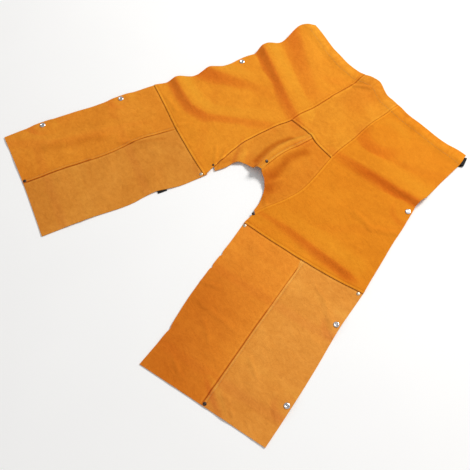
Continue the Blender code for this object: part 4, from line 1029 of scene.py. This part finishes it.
def shell(name, front, back, materials, runs=None, tone=None):
    """A thin closed shell between two grids, its cut edges in the second material."""
    rows, columns = front.shape[:2]
    count = rows * columns
    points = to_metres(np.concatenate([front.reshape(-1, 3), back.reshape(-1, 3)]))
    index = np.arange(count).reshape(rows, columns)
    quads = np.stack([index[:-1, :-1], index[:-1, 1:], index[1:, 1:], index[1:, :-1]], axis=-1).reshape(-1, 4)
    ring = np.concatenate([index[0, :-1], index[:-1, -1], index[-1, :0:-1], index[:0:-1, 0]])
    after = np.roll(ring, -1)
    rim = np.stack([ring, ring + count, after + count, after], axis=-1)
    faces = np.concatenate([quads, quads[:, ::-1] + count, rim])
    middle = quads[len(quads) // 2]
    across = np.cross(points[middle[1]] - points[middle[0]], points[middle[2]] - points[middle[0]])
    if across @ (points[middle[0]] - points[middle[0] + count]) < 0:
        faces = faces[:, ::-1]
    mesh = bpy.data.meshes.new(name)
    mesh.from_pydata(points.tolist(), [], faces.tolist())
    mesh.update()
    slots = np.zeros(len(faces), dtype=np.int32)
    slots[len(quads) * 2 :] = len(materials) - 1
    mesh.shade_smooth()
    corners = {tuple(sorted(pair)) for pair in zip(ring.tolist(), after.tolist())}
    corners |= {(a + count, b + count) for a, b in corners}
    sharp = mesh.attributes.new("sharp_edge", "BOOLEAN", "EDGE")
    sharp.data.foreach_set("value", [tuple(sorted(edge.vertices)) in corners for edge in mesh.edges])
    if runs is not None:
        layer = mesh.uv_layers.new(name="runs")
        flat = np.tile(runs.reshape(-1, 2), (2, 1)) * MM
        loops = np.zeros(len(mesh.loops), dtype=np.int32)
        mesh.loops.foreach_get("vertex_index", loops)
        layer.data.foreach_set("uv", flat[loops].ravel())
    # The tone attribute carries uneven dye together with painted shade and painted highlight
    if tone is not None:
        layer = mesh.attributes.new("tone", "FLOAT_COLOR", "POINT")
        flat = np.ones((2 * count, 4), dtype=np.float32)
        flat[:, :3] = np.tile(tone.reshape(-1, 3), (2, 1))
        layer.data.foreach_set("color", flat.ravel())
    made = link_object(name, mesh, *materials)
    mesh.polygons.foreach_set("material_index", slots)
    return made


class Nodes:
    """Short ways to put shader nodes into a new material."""

    def __init__(self, name):
        self.material = bpy.data.materials.new(name)
        self.material.use_nodes = True
        self.nodes = self.material.node_tree.nodes
        self.link = self.material.node_tree.links.new
        self.shader = self.nodes["Principled BSDF"]
        self.place = self.nodes.new("ShaderNodeTexCoord").outputs["Object"]

    def new(self, kind, **inputs):
        node = self.nodes.new(kind)
        for key, value in inputs.items():
            self.put(node.inputs[key.replace("_", " ")], value)
        return node

    def put(self, socket, value):
        if isinstance(value, bpy.types.NodeSocket):
            self.link(value, socket)
        else:
            socket.default_value = value

    def noise(self, scale, detail=4.0, roughness=0.55, distortion=0.0, at=None):
        settings = {"Scale": scale, "Detail": detail, "Roughness": roughness, "Distortion": distortion}
        node = self.new("ShaderNodeTexNoise", **settings)
        self.link(at or self.place, node.inputs["Vector"])
        return node.outputs["Fac"]

    def stretched(self, scale, turn=0.0):
        node = self.new("ShaderNodeMapping", Scale=scale, Rotation=(0, 0, turn))
        self.link(self.place, node.inputs["Vector"])
        return node.outputs["Vector"]

    def ramp(self, source, *stops):
        node = self.nodes.new("ShaderNodeValToRGB")
        elements = node.color_ramp.elements
        while len(elements) < len(stops):
            elements.new(0.5)
        for element, (position, colour) in zip(elements, stops):
            element.position = position
            element.color = (*colour, 1)
        self.link(source, node.inputs["Fac"])
        return node.outputs["Color"]

    def mix(self, kind, factor, first, second):
        node = self.nodes.new("ShaderNodeMix")
        node.data_type = "RGBA"
        node.blend_type = kind
        self.put(node.inputs[0], factor)
        self.put(node.inputs[6], first)
        self.put(node.inputs[7], second)
        return node.outputs[2]

    def bump(self, source, strength, distance, below=None):
        node = self.new("ShaderNodeBump", Strength=strength, Distance=distance, Height=source)
        if below:
            self.link(below, node.inputs["Normal"])
        return node.outputs["Normal"]

    def finish(self, colour, normal=None, **settings):
        self.put(self.shader.inputs["Base Color"], colour)
        if normal:
            self.link(normal, self.shader.inputs["Normal"])
        for key, value in settings.items():
            self.put(self.shader.inputs[key.replace("_", " ")], value)
        return self.material


def grey(value):
    return (value, value, value)


def suede(name, hide):
    """Napped split cowhide: mottled tone, brushed nap and fine creases drawn one way."""
    made = Nodes(name)
    tone = np.array(hide.tone)
    broad = made.ramp(
        made.noise(6, 4, 0.55, 0.4),
        (0.30, tone * (0.94, 0.90, 0.86)),
        (0.50, tone),
        (0.70, np.minimum(tone * (1.03, 1.06, 1.14), 1)),
    )
    cloud = made.ramp(
        made.noise(80, 6, 0.7, 0.5), (0.32, (0.90, 0.86, 0.82)), (0.56, grey(1.0)), (0.76, (1.03, 1.06, 1.12))
    )
    drawn = made.noise(30, 6, 0.6, 1.6, made.stretched((1, 1.7, 1), hide.turn))
    streak = made.ramp(drawn, (0.30, (0.94, 0.91, 0.87)), (0.52, grey(1.0)), (0.74, (1.03, 1.06, 1.12)))
    cloud = made.mix("MULTIPLY", 1.0, cloud, streak)
    # The tone attribute: the hide's uneven dye with painted shade and painted highlight at seams, folds and
    # puckers
    painted_light_tone = made.new("ShaderNodeAttribute")
    painted_light_tone.attribute_name = "tone"
    broad = made.mix("MULTIPLY", 1.0, broad, painted_light_tone.outputs["Color"])
    nap = made.ramp(
        made.noise(700, 4, 0.72), (0.28, (0.80, 0.75, 0.70)), (0.54, grey(1.0)), (0.78, (1.10, 1.14, 1.2))
    )
    colour = made.mix("MULTIPLY", 0.75, made.mix("MULTIPLY", hide.mottle, broad, cloud), nap)
    normal = made.bump(drawn, 0.22, 0.005)
    normal = made.bump(made.noise(34, 5, 0.6, 0.3), 0.25, 0.004, normal)
    normal = made.bump(made.noise(190, 5, 0.66), 0.42, 0.0011, normal)
    normal = made.bump(made.noise(1100, 3, 0.65), 0.55, 0.0004, normal)
    return made.finish(
        colour,
        normal,
        Roughness=0.95,
        Specular_IOR_Level=0.06,
        Sheen_Weight=0.05,
        Sheen_Roughness=0.5,
        Sheen_Tint=(1.0, 0.62, 0.2, 1),
    )


def raw_edge():
    """Cut leather seen end-on: fibrous, duller and greyer than the nap."""
    made = Nodes("raw_edge")
    fibres = made.noise(900, 4, 0.7)
    stops = ((0.3, (0.40, 0.17, 0.04)), (0.55, (0.66, 0.30, 0.075)), (0.8, (0.80, 0.45, 0.18)))
    colour = made.ramp(fibres, *stops)
    normal = made.bump(made.noise(1500, 3, 0.7), 0.7, 0.0005)
    return made.finish(colour, normal, Roughness=0.97, Specular_IOR_Level=0.1)


def sewing_thread():
    made = Nodes("thread")
    colour = made.ramp(made.noise(2600, 2), (0.3, (0.40, 0.20, 0.045)), (0.7, (0.70, 0.42, 0.13)))
    return made.finish(colour, made.bump(made.noise(3000, 2), 0.5, 0.0002), Roughness=0.65)


def woven():
    """Black belt webbing: ribs across, plaited by ribs along, in metres of the strip's own run."""
    made = Nodes("webbing")
    strip = made.new("ShaderNodeUVMap")
    strip.uv_map = "runs"

    def ribs(turn, pitch):
        turned_strip = made.new("ShaderNodeMapping", Rotation=(0, 0, turn))
        made.link(strip.outputs["UV"], turned_strip.inputs["Vector"])
        node = made.new("ShaderNodeTexWave", Scale=math.pi / (10 * pitch), Distortion=0.6, Detail=1.0)
        node.wave_profile = "SIN"
        made.link(turned_strip.outputs["Vector"], node.inputs["Vector"])
        return node.outputs["Fac"]

    weave = made.mix("MULTIPLY", 1.0, ribs(0.0, 0.0016), ribs(math.pi / 2, 0.0021))
    # Painted shade in the weave's grooves and painted highlight on its ribs
    dark, lit = (0.010, 0.009, 0.010), (0.022, 0.021, 0.022)
    colour = made.ramp(weave, (0.0, grey(0.003)), (0.6, dark), (1.0, lit))
    normal = made.bump(weave, 0.8, 0.0005)
    normal = made.bump(made.noise(2500, 2), 0.35, 0.0002, normal)
    return made.finish(colour, normal, Roughness=0.75, Specular_IOR_Level=0.3)


def moulded():
    made = Nodes("moulded_plastic")
    colour = made.ramp(made.noise(40, 3), (0.3, grey(0.011)), (0.7, grey(0.018)))
    return made.finish(colour, made.bump(made.noise(1800, 3), 0.25, 0.0002), Roughness=0.46)


def metal(name, dark, light, roughness, scuff):
    """Plated steel with fine scuffs and dirt in the broad tone."""
    made = Nodes(name)
    colour = made.ramp(made.noise(300, 5, 0.6), (0.32, dark), (0.6, light))
    scuffed = grey(min(1, roughness + scuff))
    rough = made.ramp(made.noise(900, 4, 0.6), (0.35, grey(roughness)), (0.7, scuffed))
    normal = made.bump(made.noise(700, 4), 0.25, 0.0002)
    return made.finish(colour, normal, Roughness=rough, Metallic=1.0)


def flat_panel(name, grid, materials):
    grid = nicked(name, grid)
    place = (name, grid[..., 0], grid[..., 1])
    under, normal = fine_field(grid, lap_offset(*place))
    over = under + normal * thickness(*place)[..., None]
    return shell(name + "_suede", over, under, materials, tone=tone_with_painted_light(*place))


def casing_stand_off(depth):
    return np.interp(depth, [row.depth for row in CASING_FRONT], [row.rise for row in CASING_FRONT])


CASING_LINES = {}


def cased_panel(name, coarse, near, under_sides, materials, back_trim=0.0):
    """A top panel over the waist edge and down behind, as its solid is, in fine steps."""
    grid, places = refined(coarse, near)
    depth = np.interp(places, range(len(CASING_ROWS)), CASING_ROWS)
    depth = np.where(places > len(CASING_ROWS) - 1, CASING_ROWS[-1], depth)
    low = int(np.searchsorted(depth, CASING_STITCH_DEPTH))
    share = (CASING_STITCH_DEPTH - depth[low - 1]) / (depth[low] - depth[low - 1])
    CASING_LINES[name] = grid[low - 1] + (grid[low] - grid[low - 1]) * share
    back_rows = int(np.sum(depth <= CASING_DEPTH + 0.01))
    behind = grid[:back_rows].copy()
    if back_trim:
        cell = (coarse[0, 1] - coarse[0, 0]) @ unit(coarse[0, 1] - coarse[0, 0])
        along = lengths_along(behind[1])
        keep = cell * back_trim * smooth(depth[:back_rows] / BELT_EDGE)
        fixed = [BACK_TRIM_REACH * cell, along[-1]]
        for row in range(back_rows):
            behind[row] = at_distances(behind[row], np.interp(along, [0, *fixed], [keep[row], *fixed]))
    for side in under_sides:
        grid = with_allowance(grid, side, smooth(depth / CASING_EASE))
        behind = with_allowance(behind, side, np.zeros(back_rows))
    place = (name, grid[..., 0], grid[..., 1])
    stand = casing_stand_off(depth)[:, None]
    under, normal = fine_field(grid, lap_offset(*place) + stand)
    over = under + normal * thickness(*place)[..., None]
    back_under, back_normal = fine_field(behind, np.zeros(behind.shape[:2]))
    back_over = back_under + back_normal * LEATHER
    radius = np.linalg.norm(back_over[0] - under[0], axis=1, keepdims=True) / 2
    centre = (back_over[0] + under[0]) / 2
    outward = unit(over[0] - over[2])
    outward = unit(outward - normal[0] * np.sum(outward * normal[0], axis=1, keepdims=True))
    angles = np.linspace(math.pi / 2, -math.pi / 2, BEND_STEPS)[1:-1]
    bend = [math.cos(a) * outward + math.sin(a) * normal[0] for a in angles]
    front = np.concatenate([over[::-1], [centre + step * (radius + LEATHER) for step in bend], back_under])
    back = np.concatenate([under[::-1], [centre + step * radius for step in bend], back_over])
    tone = np.ones(front.shape)
    tone[: len(over)] = tone_with_painted_light(*place)[::-1]
    return shell(name + "_suede", front, back, materials, tone=tone)


def make_leather():
    edge = raw_edge()
    skins = {key: (suede("suede_" + key, hide), edge) for key, hide in HIDES.items()}
    sides = (CENTRE_SEAM_RIGHT, GUSSET_ARC_RIGHT, INNER_THIGH_RIGHT)
    right = thigh_grid(WAIST_RIGHT, sides, OUTER_THIGH_RIGHT, KNEE_RIGHT, CASING_ROWS)
    sides = (CENTRE_SEAM_LEFT, GUSSET_ARC_LEFT, INNER_THIGH_LEFT)
    left = thigh_grid(WAIST_LEFT[::-1], sides, OUTER_THIGH_LEFT, KNEE_LEFT, CASING_ROWS_LEFT_END)
    centre = centre_grid()
    seams = ("last_row", "last_column")
    both = ("first_column", "last_column")
    made = [
        cased_panel("thigh_right", right, seams, (), skins["thigh_right"], BACK_TRIM),
        cased_panel("thigh_left", left, seams, (), skins["thigh_left"]),
        cased_panel("centre_panel", centre, ("last_row", *both), both, skins["centre_panel"]),
    ]
    middle = CENTRE_HALF_COLUMNS
    tops = (centre[-1, : middle + 1], centre[-1, middle:][::-1])
    edges = (("right", GUSSET_ARC_RIGHT, CROTCH_EDGE_RIGHT), ("left", GUSSET_ARC_LEFT, CROTCH_EDGE_LEFT))
    for (side, arc, crotch_edge), top in zip(edges, tops):
        grid = gusset_grid(arc, crotch_edge, top)
        grid, places = refined(grid, ("first_row", "first_column", "last_column"))
        if side == "left":
            grid = with_allowance(grid, "last_column", smooth(SEAM_SHARE_OF_ARC - 0.4 - places))
        grid = with_allowance(with_allowance(grid, "first_column"), "first_row")
        name = "gusset_" + side
        made.append(flat_panel(name, grid, skins[name]))
    for side, edges in SHIN_EDGES.items():
        straps = [strap for strap in SHIN_STRAPS if strap.side == side]
        outer, inner = shin_grids(edges, straps)
        outer = refined(outer, ("first_row", "last_column"))[0]
        inner = with_allowance(refined(inner, ("first_row", "first_column"))[0], "first_column")
        for name, grid in (("shin_outer_" + side, outer), ("shin_inner_" + side, inner)):
            made.append(flat_panel(name, with_allowance(grid, "first_row"), skins[name]))
    belt = [right[BELT_ROWS, column] for column in range(1, right.shape[1])]
    belt += [centre[BELT_ROWS, column] for column in range(1, centre.shape[1] - 1)]
    belt += [left[BELT_ROWS, column] for column in range(left.shape[1] - 1, -1, -1)]
    return made, np.array(belt)


def stitch_rows():
    """Every row of stitches: its panel, line, inset, the side it lies on, its start and its stand off."""
    for row in SEWING:
        first = CASING_DEPTH + SEWN_BELOW_CASING if row.seam.startswith("centre") else 0
        yield row.panel, SEAMS[row.seam], STITCH_INSET, np.array(row.towards), first, 0.0
    for panel, line in CASING_LINES.items():
        first = SEWN_FROM_RIGHT_HIP if panel == "thigh_right" else 0
        yield panel, line, 0.0, line[0], first, casing_stand_off(CASING_STITCH_DEPTH)


def make_sewing():
    """All the stitches as one mesh of short threads that dip into the leather at both ends."""
    turns = np.linspace(0, 2 * math.pi, THREAD_SIDES, endpoint=False)
    vertices = []
    for panel, curve, inset, towards, first, stand in stitch_rows():
        places = np.arange(first + SEWN_FROM, lengths_along(curve)[-1] - SEWN_TO, STITCH_PITCH)
        points = at_distances(curve, places)
        along = unit(at_distances(curve, places + 0.5) - at_distances(curve, places - 0.5))
        across = to_left(along)
        across *= np.sign(np.sum(across * (towards - points), axis=1, keepdims=True))
        points = points + across * inset
        spots, normals = fine_field(points, lap_offset(panel, points[:, 0], points[:, 1]) + LEATHER + stand)
        along = np.concatenate([along, np.zeros((len(along), 1))], axis=1)
        along = unit(along - normals * np.sum(along * normals, axis=1, keepdims=True))
        for spot, normal, run, side in zip(spots, normals, along, np.cross(normals, along)):
            for row in STITCH:
                centre = spot + run * row.share * STITCH_LENGTH + normal * row.rise * THREAD_RADIUS
                for turn in turns:
                    out = side * math.cos(turn) + normal * math.sin(turn)
                    vertices.append(centre + out * THREAD_RADIUS * row.size)
    ring = THREAD_SIDES
    last = ring * (len(STITCH) - 1)
    faces = []
    for start in range(0, len(vertices), last + ring):
        for lower in range(start, start + last, ring):
            for side in range(ring):
                a = lower + side
                b = lower + (side + 1) % ring
                faces.append((a, b, b + ring, a + ring))
        faces.append(tuple(range(start + ring - 1, start - 1, -1)))
        faces.append(tuple(range(start + last, start + last + ring)))
    mesh = bpy.data.meshes.new("stitching")
    mesh.from_pydata(to_metres(np.array(vertices)).tolist(), [], faces)
    mesh.shade_smooth()
    return link_object("stitching", mesh, sewing_thread())


# Webbing across its width: where its points lie, and how thick it is there
LANES = np.linspace(-1, 1, 7)
MIDDLE_LANE = len(LANES) // 2
STRIP = np.array([0.55, 0.9, 1.0, 1.0, 1.0, 0.9, 0.55])


def strip_runs(points):
    """How far along and across a strip each of its points lies."""
    runs = np.zeros((*points.shape[:2], 2))
    runs[..., 0] = lengths_along(points[:, MIDDLE_LANE])[:, None]
    runs[..., 1] = LANES * WEBBING_WIDTH / 2
    return runs


def strip(name, points, normals, finish):
    """Webbing whose middle surface is given, thinner at its edges."""
    thick = (WEBBING / 2 * STRIP)[None, :, None]
    return shell(name, points + normals * thick, points - normals * thick, (finish,), strip_runs(points))


def ribbon(name, path, across, heights, finish):
    """Webbing along a plan path, with its end corners cut."""
    run = lengths_along(path)
    half = WEBBING_WIDTH / 2 - TIP_CORNER * np.clip(1 - (run[-1] - run) / TIP_CORNER_LENGTH, 0, 1)
    plan = path[:, None] + across[:, None] * LANES[None, :, None] * half[:, None, None]
    middle = np.concatenate([plan, np.broadcast_to(heights[:, None, None], plan[..., :1].shape)], axis=2)
    middle[..., 2] += WEBBING / 2
    return strip(name, middle, np.array([0.0, 0.0, 1.0]), finish)


def belt_end(end):
    """The belt from its fold on: round the fold, then out along the floor, as its middle surface."""
    lanes = np.linspace(end.fold_top, end.fold_foot, len(LANES))
    crease = unit(lanes[-1] - lanes[0])
    path = tail_path(end)
    fine = bend_through(path[0], end.via, end.end, TAIL_FINER * (TAIL_SECTIONS - 1) + 1)
    outward = np.array([crease[1], -crease[0], 0])
    outward *= -np.sign(outward[:2] @ (path[1] - path[0]))
    axis, normal = fine_field(lanes, np.full(len(LANES), LEATHER / 2))
    reach = GAP + LEATHER / 2 + WEBBING / 2
    points = []
    normals = []
    for angle in np.linspace(math.pi / 2, -math.pi / 2, BELT_BEND_STEPS):
        step = math.cos(angle) * outward + math.sin(angle) * normal
        points.append(axis + step * reach)
        normals.append(step)
    across = to_left(unit(np.gradient(fine, axis=0)))
    across *= np.sign(across[0] @ (lanes[0] - lanes[1]))
    run = lengths_along(fine)
    fall = (float(lift(*lanes[MIDDLE_LANE])) - WEBBING - GAP) * (1 - smooth(run / TAIL_DROP))
    down = np.tile([0.0, 0.0, -1.0], (len(LANES), 1))
    for i in range(TAIL_FINER, len(fine)):
        plan = fine[i] - across[i] * (LANES[:, None] * WEBBING_WIDTH / 2)
        clear = TAIL_CLEARANCE * smooth(run[i] / TAIL_CLEAR_FROM)
        room = lift(plan[:, 0], plan[:, 1]) - WEBBING - GAP - clear
        height = np.maximum(np.minimum(room, fall[i]), 0) + WEBBING / 2
        points.append(np.concatenate([plan, height[:, None]], axis=1))
        normals.append(down)
    return np.array(points), np.array(normals)


def make_belt(casing, finish):
    """One ribbon: the right tail, through the casing from right to left, and the left tail."""
    line = refined(casing)[0]
    shares = np.linspace(0, line.shape[1] - 1, len(LANES))
    lanes = np.stack([line[:, round(share)] for share in shares], axis=1)
    middle, normal = fine_field(lanes, np.full(lanes.shape[:2], LEATHER + GAP + WEBBING / 2))
    right, right_normal = belt_end(BELT_END_RIGHT)
    left, left_normal = belt_end(BELT_END_LEFT)
    points = np.concatenate([right[::-1], middle, left])
    normals = np.concatenate([right_normal[::-1], normal, left_normal])
    return strip("belt_webbing", points, normals, finish)


def turned(name, profile, segments, finish):
    """A round piece from a profile of (radius, height) points that starts and ends on its axis."""
    build = bmesh.new()
    verts = [build.verts.new((radius * MM, 0, height * MM)) for radius, height in profile]
    edges = [build.edges.new(pair) for pair in zip(verts[:-1], verts[1:])]
    turn = {"cent": (0, 0, 0), "axis": (0, 0, 1), "angle": 2 * math.pi, "steps": segments}
    bmesh.ops.spin(build, geom=verts + edges, use_merge=True, **turn)
    bmesh.ops.remove_doubles(build, verts=build.verts, dist=1e-6)
    bmesh.ops.recalc_face_normals(build, faces=build.faces)
    mesh = bpy.data.meshes.new(name)
    build.to_mesh(mesh)
    build.free()
    mesh.shade_smooth()
    mesh.set_sharp_from_angle(angle=math.radians(SHARP_DEGREES))
    return link_object(name, mesh, finish)


def leather_tree(panels):
    """All the leather in one search tree, for setting small pieces against it."""
    vertices = []
    faces = []
    for made in panels:
        first = len(vertices)
        vertices += [vertex.co.copy() for vertex in made.data.vertices]
        faces += [[first + index for index in face.vertices] for face in made.data.polygons]
    return BVHTree.FromPolygons(vertices, faces)


def stand_on(made, tree, x, y, radius, sink=0.0, below=False):
    """Sets a turned piece against the leather, over its whole foot, square to the fold there."""
    normal = Vector(fine_field(np.array([[x, y]], float), np.zeros(1))[1][0])
    centre = Vector(to_metres([x, y, 0]))
    up = 1.0 if below else -1.0
    reach = []
    touched = None
    for ring in FOOT_RINGS:
        for turn in range(FOOT_TURNS if ring else 1):
            angle = turn * 2 * math.pi / FOOT_TURNS
            place = centre + Vector((math.cos(angle), math.sin(angle), 0)) * (ring * radius * MM)
            hit = tree.ray_cast(Vector((place.x, place.y, -up)), Vector((0, 0, up)))[0]
            if hit is None:
                continue
            touched = touched or hit
            reach.append((hit - touched).dot(normal))
    offset = min(reach) + sink * MM if below else max(reach) - sink * MM
    made.matrix_world = Matrix.Translation(touched + normal * offset) @ (
        (-normal if below else normal).to_track_quat("Z", "Y").to_matrix().to_4x4()
    )


def snap_profile():
    """A pressed cap: a rolled ring round a domed dimple."""
    r = SNAP_RADIUS
    top = SNAP_HEIGHT
    ring = [(0, 0), (r - 0.6, 0), (r - 0.1, 0.25), (r, 0.7), (r - 0.25, 1.3), (r - 0.9, 1.9)]
    crown = [(r - 1.7, top - 0.15), (r - 2.5, top), (r - 3.2, top - 0.2), (r - 3.8, top - 0.75)]
    dimple = [(r - 4.2, top - 1.3), (r - 5.0, top - 1.45), (r - 6.2, top - 1.2), (0, top - 1.1)]
    return ring + crown + dimple


def socket_profile():
    """A socket: a thick ring round the hole for the cap's stud."""
    r = SOCKET_RADIUS
    top = SOCKET_HEIGHT
    ring = [(0, 0), (r - 0.4, 0), (r, 0.4), (r, top * 0.6), (r - 0.5, top - 0.3), (r - 1.6, top)]
    return ring + [(2.4, top), (2.1, top - 0.9), (0, top - 0.9)]


def rivet_profile(r):
    """A low round head."""
    top = RIVET_HEIGHT
    rim = [(0, 0), (r - 0.4, 0), (r, 0.3), (r * 0.96, 0.65), (r * 0.86, top * 0.66)]
    return rim + [(r * 0.66, top * 0.88), (r * 0.4, top * 0.98), (0, top)]


def make_hardware(tree, webbing):
    """Snaps, rivets and leg straps, each standing for its solid."""
    steel = metal("snap_steel", (0.42, 0.42, 0.44), (0.78, 0.78, 0.80), 0.16, 0.22)
    rivet_metal = {
        "bright": metal("rivet_bright", (0.42, 0.34, 0.24), (0.80, 0.70, 0.55), 0.28, 0.3),
        "dark": metal("rivet_dark", (0.03, 0.02, 0.018), (0.11, 0.075, 0.06), 0.42, 0.3),
    }
    made = []
    spots = {strap.name: shin_strap_path(strap)[1] for strap in SHIN_STRAPS}
    spots |= {strap.name: strap.snap for strap in THIGH_STRAPS}
    room = {}
    for name, spot in spots.items():
        cap = turned("snap_ring_" + name, snap_profile(), SNAP_SEGMENTS, steel)
        stand_on(cap, tree, *spot, SNAP_RADIUS, sink=SNAP_SINK)
        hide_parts("snap_cap_" + name)
        socket = turned("snap_socket_ring_" + name, socket_profile(), SMALL_SEGMENTS, steel)
        stand_on(socket, tree, *spot, SOCKET_RADIUS, sink=SOCKET_SINK, below=True)
        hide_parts("snap_socket_" + name)
        lowest = min((socket.matrix_world @ vertex.co).z for vertex in socket.data.vertices)
        room[name] = max(lowest / MM - WEBBING - UNDER_SOCKET, 0)
        made += [(cap, "snap_steel"), (socket, "snap_steel")]
    for row in RIVETS:
        profile = rivet_profile(row.radius)
        piece = turned(row.name + "_head", profile, SMALL_SEGMENTS, rivet_metal[row.colour])
        stand_on(piece, tree, row.x, row.y, row.radius, sink=RIVET_SINK)
        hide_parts(row.name)
        made.append((piece, "rivet_" + row.colour))
    for strap in SHIN_STRAPS:
        start, tip = shin_strap_path(strap)[0]
        along = unit(tip - start)
        length = np.linalg.norm(tip - start)
        close = np.linspace(length - STRAP_END, length, STRAP_END_SECTIONS)
        run = np.unique(np.concatenate([np.arange(0, length - STRAP_END, STRAP_STEP), close]))
        across = np.tile(to_left(along), (len(run), 1))
        path = start + along * run[:, None]
        piece = ribbon("webbing_" + strap.name, path, across, np.zeros(len(run)), webbing)
        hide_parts("strap_" + strap.name)
        made.append((piece, "webbing"))
    for strap in THIGH_STRAPS:
        coarse = thigh_strap_path(strap)
        fine = bend_through(coarse[0], strap.via, coarse[-1], THIGH_STRAP_SECTIONS)
        across = to_left(unit(np.gradient(fine, axis=0)))
        away = np.linalg.norm(fine - np.array(strap.snap, float), axis=1)
        heights = room[strap.name] * smooth((THIGH_SNAP_REACH - away) / THIGH_SNAP_EASE)
        piece = ribbon("webbing_" + strap.name, fine, across, heights, webbing)
        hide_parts("strap_" + strap.name)
        made.append((piece, "webbing"))
    return made


def make_camera():
    """The photograph's viewpoint, solved from the apron's outline."""
    data = bpy.data.cameras.new("camera")
    data.sensor_width = 36
    data.lens = 52.59
    data.clip_start = 0.05
    data.clip_end = 30
    camera = bpy.data.objects.new("camera", data)
    bpy.context.collection.objects.link(camera)
    right = Vector(CAMERA.right).normalized()
    back = Vector(CAMERA.back).normalized()
    turn = Matrix((right, back.cross(right).normalized(), back)).transposed().to_4x4()
    camera.matrix_world = Matrix.Translation(CAMERA.place) @ turn
    bpy.context.scene.camera = camera


def area_light(name, place, size, energy, colour):
    """A soft round light that looks at the middle of the floor."""
    data = bpy.data.lights.new(name, "AREA")
    data.shape = "DISK"
    data.size = size
    data.energy = energy
    data.color = colour
    light = bpy.data.objects.new(name, data)
    bpy.context.collection.objects.link(light)
    light.location = place
    light.rotation_mode = "QUATERNION"
    light.rotation_quaternion = Vector(place).to_track_quat("Z", "Y")


def make_stage():
    """A plain pale floor and soft light from beyond the waist."""
    half = FLOOR_WIDTH / 2
    mesh = bpy.data.meshes.new("floor")
    corners = [(-half, -half, 0), (half, -half, 0), (half, half, 0), (-half, half, 0)]
    mesh.from_pydata(corners, [], [(0, 1, 2, 3)])
    made = Nodes("floor")
    colour = made.ramp(made.noise(3, 2), (0.3, grey(0.955)), (0.7, grey(0.97)))
    floor = link_object("floor", mesh, made.finish(colour, Roughness=0.85, Specular_IOR_Level=0.2))
    floor.location.z = -FLOOR_DROP
    floor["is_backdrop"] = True
    area_light("key", place=(0.3, 3.4, 2.9), size=1.6, energy=185, colour=(1.0, 0.985, 0.96))
    area_light("fill", place=(1.4, -1.8, 2.6), size=3.0, energy=8, colour=(1.0, 0.99, 0.98))
    world = bpy.data.worlds.new("studio")
    world.use_nodes = True
    sky = world.node_tree.nodes["Background"].inputs
    sky["Color"].default_value = (1, 1, 1, 1)
    sky["Strength"].default_value = SKY_STRENGTH
    bpy.context.scene.view_settings.view_transform = "Standard"
    bpy.context.scene.world = world


def main():
    panels, belt_line = make_leather()
    webbing = woven()
    for made in panels:
        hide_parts(made.name.replace("_suede", ""))
    pieces = [(made, "leather") for made in panels]
    belt = make_belt(belt_line, webbing)
    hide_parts("waist_belt")
    pieces += [(belt, "webbing"), (make_sewing(), "leather")]
    pieces += make_hardware(leather_tree(panels), webbing)
    for made, slot in pieces:
        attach(made, "root")
    for made in panels:
        name = made.name.replace("_suede", "")
        cut = CUTS[name]
        upper = set(LAPS[name].upper)
        below = ["webbing_" + strap for strap in cut.straps]
        below += [other + "_suede" for other, laps in LAPS.items() if upper & set(laps.under)]
    plastic = moulded()
    for name in ("buckle_plug", "buckle_socket"):
        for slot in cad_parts[name].material_slots:
            slot.material = plastic
    make_camera()
    make_stage()
    boxes = [[list(corner) for corner in box] for box in (CAD_BOX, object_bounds())]


main()
